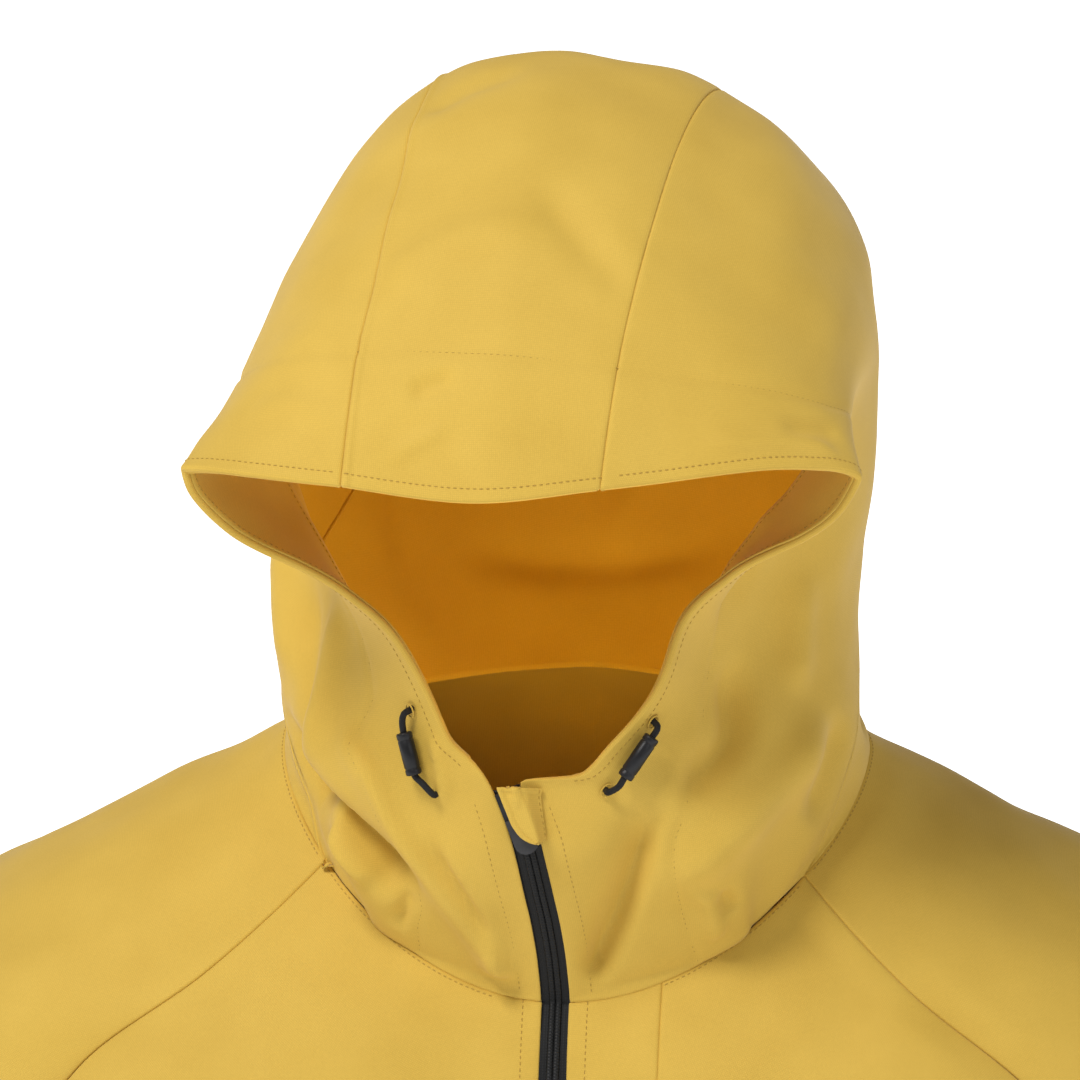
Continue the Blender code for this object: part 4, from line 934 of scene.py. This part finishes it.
# Where the facing is stitched through, as (u, v) from the wearer's left foot of the zip round to the right.
FACING_LINE = (
    (0.000, 0.102), (0.05, 0.094), (0.10, 0.091), (0.158, 0.094), (0.21, 0.103), (0.26, 0.120),
    (0.309, 0.134),
    (0.347, 0.140), (0.407, 0.126), (0.50, 0.112), (0.62, 0.108), (0.75, 0.108), (0.90, 0.106), (1.00, 0.108),
    (1.10, 0.106), (1.25, 0.108), (1.40, 0.100), (1.52, 0.078), (1.615, 0.066), (1.659, 0.084),
    (1.690, 0.092),
    (1.715, 0.084), (1.782, 0.082), (1.83, 0.078), (1.90, 0.079), (1.948, 0.093), (2.0, 0.099),
)


def facing_line(count=700):
    table = np.array(FACING_LINE)
    u = np.linspace(0.004, 1.996, count)
    return u, akima(table[:, 0], table[:, 1:], u)[:, 0]


line_u, line_v = facing_line(240)
HOOD_CREASES.append(Crease(hood_points(line_u, line_v), -0.42, 1.9, 1.9, (0.001, 0.001), as_given=True))


def hood_calm(points):
    """0 on the neck seam, where the hood is held, rising to 1 a little above it."""
    aside, ahead = np.abs(points[..., 0]) / NECK_HALF_WIDTH, (NECK_SIDE_Y - points[..., 1]) / 90
    around = np.degrees(np.arctan2(aside, ahead))
    near = np.linalg.norm(points - neck_seam(around) * np.stack(
        [np.sign(points[..., 0]), np.ones(points.shape[:-1]), np.ones(points.shape[:-1])], axis=-1), axis=-1)
    return smooth(near / 14.0)


def hood_grid(u, v):
    """Hood points with their own u and v beside them."""
    u, v = np.broadcast_arrays(u, v)
    return np.concatenate([hood_points(u, v), u[..., None], v[..., None]], axis=-1)


def zip_calm(u, v):
    """0 at the zip's edge, where the tape holds the cloth flat, rising to 1 a little beside it."""
    held = 1 - smooth((np.minimum(u, 2 - u) - 0.25) / 0.05)
    return 1 - held * (1 - smooth(v / 0.026))


def rolled(points, out, radius, tail):
    """The grid with its first row's edge folded under: a half turn of the radius, then a tail."""
    gap = points[1] - points[0]
    length = np.linalg.norm(gap, axis=-1, keepdims=True)
    forward = -gap / np.maximum(length, 1e-6)
    inward = -unit(out[0] - forward * np.sum(out[0] * forward, axis=-1, keepdims=True))
    radius = radius[:, None]
    start = points[0] - forward * np.minimum(radius, length * 0.8)
    middle = start + inward * radius
    rows, outs = [], []
    for degrees in (180, 150, 120, 90, 60, 30, 0):
        angle = math.radians(degrees)
        way = forward * math.sin(angle) - inward * math.cos(angle)
        rows.append(middle + way * radius)
        outs.append(way)
    rows.insert(0, rows[0] - forward * tail[:, None])
    outs.insert(0, outs[0])
    return np.concatenate([np.array(rows), points[1:]]), np.concatenate([np.array(outs), out[1:]])


def tucked(points, out, edge):
    """The grid with one more row beyond the named edge, which goes in under the cloth sewn to it."""
    grid, way = edge_first(points, edge), edge_first(out, edge)
    span = np.linalg.norm(grid[0] - grid[-1], axis=-1, keepdims=True)
    reach = np.minimum(TUCK_REACH, 0.25 * span)
    beyond = grid[0] + unit(grid[0] - grid[14]) * reach - way[8] * TUCK_DEPTH * reach / TUCK_REACH
    return (edge_back(np.concatenate([beyond[None], grid]), edge),
            edge_back(np.concatenate([way[8][None], way]), edge))


def seam_dip(points, edges, neck=()):
    """How far the cloth turns in at the named edges, less at those on the neck seam."""
    dip = np.zeros(points.shape[:2])
    for edge in edges:
        far = distances(points, edge)
        share = NECK_DIP if edge in neck else 1
        dip = np.maximum(dip, share * np.interp(far, EDGE_STEPS, EDGE_DEPTHS))
    return dip


def roll_radius(u):
    """Radius of the folded edge: small beside the zip, full round the opening."""
    return lerp(ROLL_ZIP, ROLL, smooth((np.minimum(u, 2 - u) - 0.25) / 0.05))


# Rows of the hood's sides down the v of its grid, closer together at the crown.
HOOD_ROWS = (
    0, 0.036, 0.072, 0.108, 0.19, 0.28, 0.36, 0.44, 0.52, 0.60, 0.66, 0.72, 0.78, 0.83, 0.88, 0.92, 0.95,
    0.98, 0.985, 0.99, 0.995, 0.9985,
)


def add_hood():
    """The hood's three panels. Returns the stitch lines round its opening."""
    rows = np.interp(np.linspace(0, 1, 176), np.linspace(0, 1, len(HOOD_ROWS)), HOOD_ROWS)
    seam_u, seam_v, neck_v = hood_seam(rows)
    columns = np.linspace(0, 1, 150)
    lines = []
    for name in ("left", "right"):
        u = seam_u[:, None] * columns
        v = neck_v[:, None] + (seam_v - neck_v)[:, None] * columns
        sign = 1 if name == "left" else -1
        grid = hood_grid(u if name == "left" else 2 - u, v)
        grid = with_steps(with_steps(grid, "left", SEAM_INSET, EDGE_STEPS), "right", SEAM_INSET, EDGE_STEPS)
        points = grid[..., :3]
        out = normals(points, sign)
        lift = relief(points, out, HOOD_CREASES, hood_calm(points) * zip_calm(grid[..., 3], grid[..., 4]))
        lift += puckers(points, "right", 0.35) - seam_dip(points, ("left", "right"), ("left",))
        moved = points + out * lift[..., None]
        out = normals(moved, sign)
        moved, out = tucked(moved, out, "left")
        edge_u = np.concatenate([np.zeros(5), seam_u[0] * columns, np.full(4, seam_u[0])])
        radius = roll_radius(edge_u)
        moved, out = rolled(moved, out, radius, lerp(0.3, ROLL_TAIL, (radius - ROLL_ZIP) / (ROLL - ROLL_ZIP)))
        piece = shell("hood_side_" + name + "_cloth", moved, out, SHELL, yellow, "garment")
        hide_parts("hood_side_" + name)
        both = np.concatenate([moved[8:] + out[8:] * SHELL / 2, out[8:]], axis=-1)
        line = line_from(both, "top", 2.8)[edge_u > 0.275][:-5]
        lines.append((line[:, :3], line[:, 3:]))
    rows = np.append(rows, 1.0)
    seam_u, seam_v, neck_v = hood_seam(rows)
    columns = np.linspace(-1, 1, 120)
    reach = np.abs(columns)
    u = 1 + np.sign(columns) * (1 - seam_u)[:, None] * reach
    v = rows[:, None] + (seam_v - rows)[:, None] * reach
    points = hood_points(u, v)
    for edge in ("left", "right"):
        points = with_steps(points, edge, SEAM_INSET, EDGE_STEPS)
    out = normals(points, -1)
    if np.sum(out[60:90, 70:90] * (points[60:90, 70:90] - (0, 20, 100))) < 0:
        out = -out
    sign = 1 if np.sum(out * normals(points, 1)) > 0 else -1
    lift = relief(points, out, HOOD_CREASES, hood_calm(points))
    lift += (puckers(points, "left", 0.35) + puckers(points, "right", 0.35)
             - seam_dip(points, ("left", "right")))
    lift += 0.75 * np.exp(-((distances(points, "right") - 1.9) / 1.3) ** 2)
    moved = points + out * lift[..., None]
    out = normals(moved, sign)
    moved, out = tucked(moved, out, "bottom")
    edge_u = np.full(moved.shape[1], 1.0)
    moved, out = rolled(moved, out, roll_radius(edge_u), np.full(moved.shape[1], ROLL_TAIL))
    piece = shell("hood_center_cloth", moved, out, SHELL, yellow, "garment")
    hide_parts("hood_center_panel")
    both = np.concatenate([moved[8:] + out[8:] * SHELL / 2, out[8:]], axis=-1)
    line = line_from(both, "top", 2.6)
    lines.append((line[:, :3], line[:, 3:]))
    return lines


def hood_surface(u, v, lift=0.0):
    """Points on the shown outer side of the hood's cloth and their normals, along a line of (u, v)."""
    step = 0.002
    here, along, back = hood_points(u, v), hood_points(u + step, v), hood_points(u, v + step)
    out = unit(np.cross(back - here, along - here))
    moved = ripple(here, 75.0, 3.6, 1) + ripple(here, 30.0, 1.5, 2)
    for crease in HOOD_CREASES:
        moved += crease(here, out)
    moved *= hood_calm(here) * zip_calm(u, v)
    return here + out * (moved + SHELL / 2 + lift)[:, None], out


def add_facing():
    """The facing inside the hood's opening. Returns its stitch lines."""
    rows = np.linspace(0.0, 1, 28)
    u = np.linspace(0.003, 1.997, 450)
    table = np.array(FACING_LINE)
    reach = akima(table[:, 0], table[:, 1:], u)[:, 0]
    v = rows[:, None] * reach
    whole_u = np.broadcast_to(u, v.shape)
    points = hood_points(whole_u, v)
    out = normals(points, 1)
    lift = relief(points, out, HOOD_CREASES, hood_calm(points) * zip_calm(whole_u, v))
    flat = points.reshape(-1, 3)
    own = np.array([noise.noise(Vector(p / 22.0) + Vector((40, 0, 0))) for p in flat]).reshape(v.shape) * 0.8
    far = distances(points, "top")
    beside_zip = smooth((np.minimum(u, 2 - u) - 0.25) / 0.04)
    start = lerp(13.5, 1.1, beside_zip)
    stretched = lerp(far, far[-1:], start / np.maximum(far[-1], 1e-6))
    moved = np.zeros_like(points)
    keep = points + out * (lift + own * smooth(far / 8) - FACING_DEPTH)[..., None]
    for c in range(points.shape[1]):
        for k in range(3):
            moved[:, c, k] = np.interp(stretched[:, c], far[:, c], keep[:, c, k])
    out = normals(moved, 1)
    piece = shell("hood_facing_cloth", moved, out, 0.8, inside, "garment")
    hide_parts("hood_facing")
    both = np.concatenate([moved - out * 0.4, -out], axis=-1)
    near, deep = line_from(both, "top", 2.6), line_from(both, "bottom", 2.2)
    opening = (u > 0.27) & (u < 1.73)
    return [(near[opening, :3], near[opening, 3:]), (deep[opening, :3], deep[opening, 3:])]


# ---------------------------------------------------------------- body

def nearest(grid, places):
    """Points of a grid nearest to each (x, z)."""
    flat = grid.reshape(-1, 3)
    return np.array([flat[np.argmin((flat[:, 0] - x) ** 2 + (flat[:, 2] - z) ** 2)] for x, z in places])


FRONT_FOLDS = (
    (((-225, -245), (-190, -225), (-150, -215)), -5.0, 11, 9),
    (((-222, -270), (-180, -262), (-140, -268)), 4.0, 12, 12),
    (((-215, -320), (-170, -350), (-120, -372)), -4.0, 14, 12),
    (((-205, -430), (-150, -455), (-95, -462)), 3.6, 14, 16),
    (((-200, -520), (-140, -530), (-80, -512)), -3.4, 13, 15),
    (((-60, -380), (-68, -470), (-58, -560)), 3.2, 14, 14),
    (((-120, -480), (-128, -560), (-122, -640)), -3.6, 15, 13),
    (((0, -330), (4, -400), (-2, -470)), -3.0, 15, 15),
    (((225, -245), (188, -228), (150, -222)), -4.6, 10, 9),
    (((220, -275), (175, -272), (130, -284)), 3.8, 12, 12),
    (((212, -340), (160, -362), (110, -370)), -3.8, 13, 12),
    (((205, -450), (150, -466), (90, -458)), 3.4, 15, 14),
    (((200, -545), (135, -540), (75, -522)), -3.2, 14, 14),
    (((70, -400), (78, -490), (70, -580)), 3.4, 14, 14),
    (((135, -500), (140, -580), (132, -645)), -3.4, 14, 14),
    (((-150, -110), (-140, -150), (-120, -190)), 1.8, 14, 14),
    (((150, -112), (138, -150), (122, -185)), 1.6, 14, 14),
)
BACK_FOLDS = (
    (((-222, -240), (-180, -222), (-130, -220)), -5.0, 11, 10),
    (((-215, -290), (-160, -298), (-100, -280)), 4.2, 13, 13),
    (((-205, -380), (-140, -402), (-70, -395)), -4.0, 14, 13),
    (((-40, -60), (-46, -140), (-38, -230)), 2.6, 14, 16),
    (((30, -80), (38, -170), (30, -270)), -3.0, 14, 14),
    (((-70, -420), (-80, -520), (-70, -620)), -4.0, 15, 15),
    (((60, -400), (72, -510), (66, -630)), 4.0, 15, 15),
    (((222, -242), (178, -226), (132, -226)), -4.6, 11, 10),
    (((214, -300), (155, -312), (95, -300)), 4.0, 13, 13),
    (((205, -410), (140, -428), (80, -420)), -3.6, 14, 13),
    (((0, -470), (6, -550), (0, -640)), -3.2, 14, 14),
    (((205, -520), (150, -545), (90, -548)), 3.4, 14, 14),
    (((-205, -510), (-150, -530), (-90, -540)), 3.2, 14, 14),
)
# Along the arm from the armpit, and turn round it: 0.25 is the front, 0.5 the outer side.
SLEEVE_FOLDS = (
    (((20, 0.05), (35, 0.14), (60, 0.24)), -4.5, 9, 9),
    (((55, 0.03), (85, 0.12), (120, 0.20)), 3.8, 10, 9),
    (((20, 0.95), (40, 0.86), (70, 0.76)), -4.2, 9, 9),
    (((190, 0.10), (205, 0.22), (215, 0.33)), -4.4, 8, 10),
    (((215, 0.06), (232, 0.18), (246, 0.30)), 3.8, 8, 9),
    (((250, 0.08), (262, 0.20), (276, 0.31)), -4.0, 8, 9),
    (((282, 0.10), (296, 0.22), (305, 0.32)), 3.0, 9, 9),
    (((230, 0.94), (246, 0.84), (262, 0.76)), -3.4, 9, 9),
    (((330, 0.62), (350, 0.50), (368, 0.40)), -2.8, 10, 10),
    (((400, 0.15), (418, 0.27), (428, 0.40)), -3.0, 9, 9),
    (((440, 0.70), (452, 0.58), (462, 0.46)), 2.8, 9, 9),
    (((455, 0.12), (468, 0.25), (476, 0.36)), 2.6, 9, 9),
    (((120, 0.60), (170, 0.57), (230, 0.60)), 2.6, 12, 12),
    (((90, 0.42), (150, 0.40), (210, 0.44)), -2.6, 13, 12),
)


def folds(table, locate):
    """Creases from a table of (path, lift, left, right), each path put on the cloth by locate."""
    return [Crease(locate(path), 1.4 * lift, left, right, (0.3, 0.45)) for path, lift, left, right in table]


def body_calm(points, edges):
    """0 on the named edges, rising to 1 a little away from them."""
    calm = np.ones(points.shape[:2])
    for edge in edges:
        calm *= smooth(distances(points, edge) / 16.0)
    return calm


def finished(points, sign, creases, calm_edges, hem):
    """A body panel: its relief, its seams turned in, and its hem's stitch line pressed in."""
    seams = ("left", "right", "top")
    out = normals(points, sign)
    lift = relief(points, out, creases, body_calm(points, calm_edges)) - seam_dip(points, seams, ("top",))
    for edge in seams:
        lift += puckers(points, edge, 0.25, 11.0)
    lift -= 0.6 * np.exp(-((distances(points, "bottom") - hem) / 1.8) ** 2)
    moved = points + out * lift[..., None]
    return moved, normals(moved, sign)


def placed(name, node, moved, out, holes=None):
    """The shell of a panel of yellow cloth, in its node's place."""
    piece = shell(name, moved, out, SHELL, yellow, "garment", holes)
    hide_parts(node)


def line_on(moved, out, edge, distance, thickness=SHELL):
    """A stitch line on the cloth's outer side, at a distance from an edge: points and normals."""
    both = np.concatenate([moved + out * thickness / 2, out], axis=-1)
    line = line_from(both, edge, distance)
    return line[:, :3], line[:, 3:]


def front_columns(front, start, end, count):
    """Columns of the front at even shares of the way across from start to end."""
    columns = []
    for t in np.linspace(0, 1, count):
        x = lerp(start, end, t)
        columns.append(np.array([at_x(front[r:r + 1], x[r])[0] for r in range(len(front))]))
    return np.stack(columns, axis=1)


# The cloth beside the zip folds under: how deep each column goes, and how far back from the edge.
PLACKET_FOLD = ((0.11, -0.27), (0.38, -0.38), (0.76, 0.0), (0.76, 2.2))
PLACKET_WAYS = ((1, 0.75), (1, 0.0), (0, -1), (0, -1))
PLACKET_STITCH = 6.6
NECK_STITCH, HEM_STITCH, CUFF_STITCH = 2.4, 22.0, 25.0


def slit_columns(edge_l, edge_r, n, foot):
    """Columns between the slit's edges: folded under beside the zip, and flat below its foot."""
    made = {}
    for aside, edge in ((-1, edge_l), (1, edge_r)):
        made[aside] = []
        for k, (depth, reach) in enumerate(PLACKET_FOLD):
            share = (k + 1) / 9 if aside < 0 else 1 - (k + 1) / 9
            folded = edge + np.array((aside, 0, 0)) * reach - n * depth
            made[aside].append(np.where(foot[:, None], folded, lerp(edge_l, edge_r, share)))
    return np.stack(made[-1] + made[1][::-1], axis=1)


def add_panel(runs, name, node, points, sign, creases, calm_edges, hem, firsts=(6, 6)):
    """A whole body panel, with stitch lines along its neck seam and its hem."""
    for edge in ("left", "right"):
        points = with_steps(points, edge, SEAM_INSET, EDGE_STEPS)
    points = with_steps(points, "top", NECK_INSET, EDGE_STEPS)
    moved, out = finished(points, sign, creases, calm_edges, hem)
    placed(name, node, moved, out)
    neck, low = firsts
    runs["neck"].append(line_on(moved[:, neck:-6], out[:, neck:-6], "top", NECK_STITCH))
    kind = "cuff" if hem == CUFF_STITCH else "hem"
    runs[kind].append(line_on(moved[:, low:-6], out[:, low:-6], "bottom", hem))


def add_body(runs):
    """Front, back and sleeves. Adds their stitch lines to runs and returns the front's right half."""
    front = body_half("front", 96, 96, np.linspace(0, 1, 71))
    whole_front = np.concatenate([front[:, ::-1] * (-1, 1, 1), front], axis=1)
    creases = folds(FRONT_FOLDS, lambda path: nearest(whole_front, path))
    inner = front_columns(front, front[:, 0, 0], CHEST_SEAM_X, 14)
    left = with_steps(whole_front[:, :71], "left", SEAM_INSET, EDGE_STEPS)
    right = with_steps(inner, "right", SEAM_INSET, EDGE_STEPS)
    slit = left.shape[1]
    whole = with_steps(np.concatenate([left, right], axis=1), "top", NECK_INSET, EDGE_STEPS)
    moved, out = finished(whole, 1, creases, ("left", "top"), HEM_STITCH)
    foot = moved[:, slit, 2] > ZIP_FOOT_Z
    n = out[:, slit]
    between = slit_columns(moved[:, slit - 1], moved[:, slit], n, foot)
    moved = np.concatenate([moved[:, :slit], between, moved[:, slit:]], axis=1)
    out = normals(moved, 1)
    for k in range(8):
        aside, up = PLACKET_WAYS[min(k, 7 - k)]
        way = np.array((1, 0, 0)) * (1 if k < 4 else -1)
        out[foot, slit + k] = unit(way * aside + n[foot] * up)
    for c in (slit - 1, slit + 8):
        out[foot, c] = n[foot]
    holes = np.zeros((moved.shape[0] - 1, moved.shape[1] - 1), bool)
    holes[:, slit + 3] = foot[:-1] & foot[1:]
    placed("front_main_cloth", "front_main", moved, out, holes)
    runs["neck"].append(line_on(moved[:, 6:slit - 12], out[:, 6:slit - 12], "top", NECK_STITCH))
    line, way = line_on(moved, out, "bottom", HEM_STITCH)
    runs["hem"].append((line[8:moved.shape[1] - 6], way[8:moved.shape[1] - 6]))
    for columns, edge in ((slice(0, slit), "right"), (slice(slit + 8, None), "left")):
        line, way = line_on(moved[:, columns], out[:, columns], edge, PLACKET_STITCH)
        keep = line[:, 2] > ZIP_FOOT_Z
        runs["placket"].append((line[keep], way[keep]))

    chest = front_columns(front, CHEST_SEAM_X, front[:, -1, 0], 66)
    add_panel(runs, "front_chest_cloth", "front_chest_panel", chest, 1, creases, ("right", "top"),
              HEM_STITCH, (4, 5))

    back = body_half("back", 80, 72, np.linspace(0, 1, 56))
    whole = np.concatenate([(back * (-1, 1, 1))[:, :0:-1], back], axis=1)
    creases = folds(BACK_FOLDS, lambda path: nearest(whole, path))
    add_panel(runs, "back_cloth", "back_panel", whole, -1, creases, ("left", "right", "top"), HEM_STITCH)

    for name, sign in (("left", 1), ("right", -1)):
        sleeve = sleeve_points(80, 94, np.linspace(0, 1, 82)) * (sign, 1, 1)

        def on_sleeve(path):
            return np.array([sleeve_ring(d, np.array([t]))[0] for d, t in path]) * (sign, 1, 1)

        add_panel(runs, "sleeve_" + name + "_cloth", "sleeve_" + name, sleeve, sign,
                  folds(SLEEVE_FOLDS, on_sleeve), ("left", "right", "top"), CUFF_STITCH)
    return front


# ---------------------------------------------------------------- zip and chin guard

def strip_shell(name, node, grid, thickness, finish):
    """The shell of a long strip, in its node's place."""
    piece = shell(name, grid, normals(grid, 1), thickness, finish, "garment")
    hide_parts(node)


def add_zip(front):
    """The tapes, the coil, and the CAD slider and pull with softened edges."""
    places = (0.15, 0.8, 1.5, 2.3, 3.2, 4.4, 5.6, 7.0, 8.6, 10.2)
    rows = zip_strip(front, [-x for x in places[::-1]] + list(places))
    lengths = np.concatenate([[0], np.cumsum(np.linalg.norm(np.diff(rows[:, 9], axis=0), axis=1))])
    at = np.arange(2.0, lengths[-1] - 1, 0.3125)
    fine = np.stack([[np.interp(at, lengths, rows[:, c, k]) for k in range(3)] for c in range(rows.shape[1])])
    fine = fine.transpose(2, 0, 1)
    out = normals(fine, 1)
    near_slider = smooth(1 - (at - 14.0) / 14.0)
    depth = lerp(1.75, 1.55, near_slider)
    tapes = fine - out * depth[:, None, None]
    split = smooth(1 - (at - 7.0) / 6.0)
    for c, towards in ((9, 7), (8, 7), (10, 12), (11, 12)):
        pull = fine[:, towards] - fine[:, c]
        tapes[:, c] += unit(pull) * (1.7 * split * (1 if c in (9, 10) else 0.6))[:, None]
    strip_shell("zip_tape_right_cloth", "zip_tape_right", tapes[::3, :10], 0.55, tape_black)
    strip_shell("zip_tape_left_cloth", "zip_tape_left", tapes[::3, 10:], 0.55, tape_black)
    # The coil: a raised ribbed cord on each tape, its ribs 1.2 mm apart, with a cleft between the two.
    body = at > 14.5
    coil_places = np.array((-2.35, -2.15, -1.7, -1.2, -0.7, -0.3, -0.12,
                            0.12, 0.3, 0.7, 1.2, 1.7, 2.15, 2.35))
    heights = np.array((0.0, 0.55, 0.85, 0.95, 0.85, 0.45, 0.0, 0.0, 0.45, 0.85, 0.95, 0.85, 0.55, 0.0))
    middle = (fine[:, 9] + fine[:, 10]) / 2
    across = unit(fine[:, 13] - fine[:, 6])
    rib = 0.5 + 0.5 * np.cos(2 * math.pi * at / 1.25)
    grid = (middle[:, None] + across[:, None] * coil_places[None, :, None]
            + out[:, 9:10] * (heights[None, :, None] * (0.5 + 0.6 * rib[:, None, None]) - 1.25))
    strip_shell("zip_coil_cloth", "zip_coil", grid[body], 0.35, coil_black)
    for node, finish in (("zip_slider", metal), ("zip_pull", grip)):
        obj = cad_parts[node]
        obj.data.materials.clear()
        obj.data.materials.append(finish)
        bevel = obj.modifiers.new("softened edges", "BEVEL")
        bevel.width = 0.22 * MM
        bevel.segments = 3
        bevel.limit_method = "ANGLE"
        bevel.angle_limit = math.radians(40)


def add_guard():
    """The chin guard over the top of the zip. Returns its stitch line."""
    inwards = zip_frame()[2]
    top, lower = ZIP_ROWS_U[:2]
    table = np.array(GUARD, float)
    shares = np.linspace(0, 1, 60)
    curve = along_points(table, shares)
    across = np.concatenate([np.linspace(0, 0.12, 7)[:-1], np.linspace(0.12, 1, 40)])
    grid = []
    for z, left, right in curve:
        u = lerp(lower, top, SLIDER_SHARE) + z / ZIP_MM_PER_U
        row = []
        for t in across:
            x = lerp(left, right, t)
            lift = lerp(GUARD_LIFT + GUARD_CLEAR, GUARD_SEWN, smooth((x - GUARD_FREE) / (right - GUARD_FREE)))
            row.append(zip_surface(u, x) - inwards * lift)
        grid.append(row)
    points = np.array(grid)
    out = normals(points, 1)
    if np.mean(out @ inwards) > 0:
        out = -out
    flat, flat_out = points.reshape(-1, 3), out.reshape(-1, 3)
    rows, columns = points.shape[:2]
    folds_made = (
        Crease(points[[0, 6, 14], [int(columns * 0.30)] * 3], -0.3, 1.3, 1.3, (0.02, 0.5)),
        Crease(points[[0, 8, 20], [int(columns * 0.52), int(columns * 0.55), int(columns * 0.60)]],
               -0.32, 1.2, 1.6, (0.02, 0.5)),
        Crease(points[[0, 10, 24], [int(columns * 0.42)] * 3], 0.4, 2.0, 2.0, (0.02, 0.5)),
    )
    lift = sum(crease(flat, flat_out) for crease in folds_made).reshape(rows, columns)
    sign = 1 if np.sum(out * normals(points, 1)) > 0 else -1
    far_top, far_left = distances(points, "top"), distances(points, "left")
    rim = 0.35 * np.exp(-((far_left - 0.9) / 0.7) ** 2) + 0.35 * np.exp(-((far_top - 0.9) / 0.7) ** 2)
    dips = 0.5 * np.exp(-((far_left - 2.4) / 0.5) ** 2) * 0.4
    moved = points + out * (lift + rim - dips)[..., None]
    out = normals(moved, sign)
    piece = shell("chin_guard_cloth", moved, out, 1.1, yellow, "garment")
    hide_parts("chin_guard")
    return line_on(moved, out, "right", 1.0, 1.1)


# ---------------------------------------------------------------- making it all

runs = {name: [] for name in ("opening", "neck", "hem", "placket", "cuff", "facing", "guard")}
runs["opening"] += add_hood()
runs["facing"] += add_facing()
runs["facing"].append(hood_surface(*facing_line(), -0.1))
front = add_body(runs)
add_zip(front)
runs["guard"].append(add_guard())
for u0, u1 in ((0.006, 0.236), (1.994, 1.764)):
    runs["placket"].append(hood_surface(np.linspace(u0, u1, 120), np.full(120, 0.0145), -0.1))

for name, lines in runs.items():
    stitches("stitching_" + name, lines, thread)


# ---------------------------------------------------------------- stage and light

def area_light(name, place, target, size, power, colour=(1, 1, 1), seen=True):
    data = bpy.data.lights.new(name, "AREA")
    data.shape = "RECTANGLE"
    data.size, data.size_y = size
    data.energy = power
    data.color = colour
    lamp = bpy.data.objects.new(name, data)
    bpy.context.scene.collection.objects.link(lamp)
    lamp.location = place
    lamp.visible_camera = seen
    lamp.rotation_euler = (Vector(target) - Vector(place)).to_track_quat("-Z", "Y").to_euler()


def add_stage():
    floor_finish, tree, shader = nodes_of("studio_floor", 0.9)
    shader.inputs["Base Color"].default_value = (0.90, 0.90, 0.90, 1)
    shader.inputs["Emission Color"].default_value = (1, 1, 1, 1)
    place = add(tree, "ShaderNodeTexCoord").outputs["Object"]
    far = add(tree, "ShaderNodeVectorMath", operation="LENGTH")
    tree.links.new(place, far.inputs[0])
    glow = add(tree, "ShaderNodeMapRange", interpolation_type="SMOOTHSTEP")
    for socket, value in (("From Min", 0.7), ("From Max", 1.7), ("To Min", 0.04), ("To Max", 1.05)):
        glow.inputs[socket].default_value = value
    tree.links.new(far.outputs["Value"], glow.inputs["Value"])
    tree.links.new(glow.outputs["Result"], shader.inputs["Emission Strength"])
    mesh = bpy.data.meshes.new("studio_floor")
    size, floor_z = 60.0, -0.78
    corners = ((-size, -size), (size, -size), (size, size), (-size, size))
    mesh.from_pydata([(x, y, floor_z) for x, y in corners],
                     [], [(0, 1, 2, 3)])
    mesh.materials.append(floor_finish)
    floor = bpy.data.objects.new("studio_floor", mesh)
    bpy.context.scene.collection.objects.link(floor)
    world = bpy.data.worlds.new("studio")
    world.use_nodes = True
    background = world.node_tree.nodes["Background"]
    background.inputs["Color"].default_value = (1, 1, 1, 1)
    background.inputs["Strength"].default_value = 0.24
    bpy.context.scene.world = world
    area_light("key", (-1.15, -1.10, 2.55), (0, 0, 0.05), (0.9, 0.9), 71)
    area_light("fill", (1.6, -1.6, 1.3), (0, 0, 0), (1.0, 1.0), 9)
    # what light the cloth lets through and throws back inside the hood
    area_light("inner_glow", (0.0, -0.075, -0.012), (0.0, 0.0, 0.20), (0.07, 0.03), 0.26,
               (1.0, 0.68, 0.13), False)
    bpy.context.scene.view_settings.view_transform = "Standard"


add_stage()
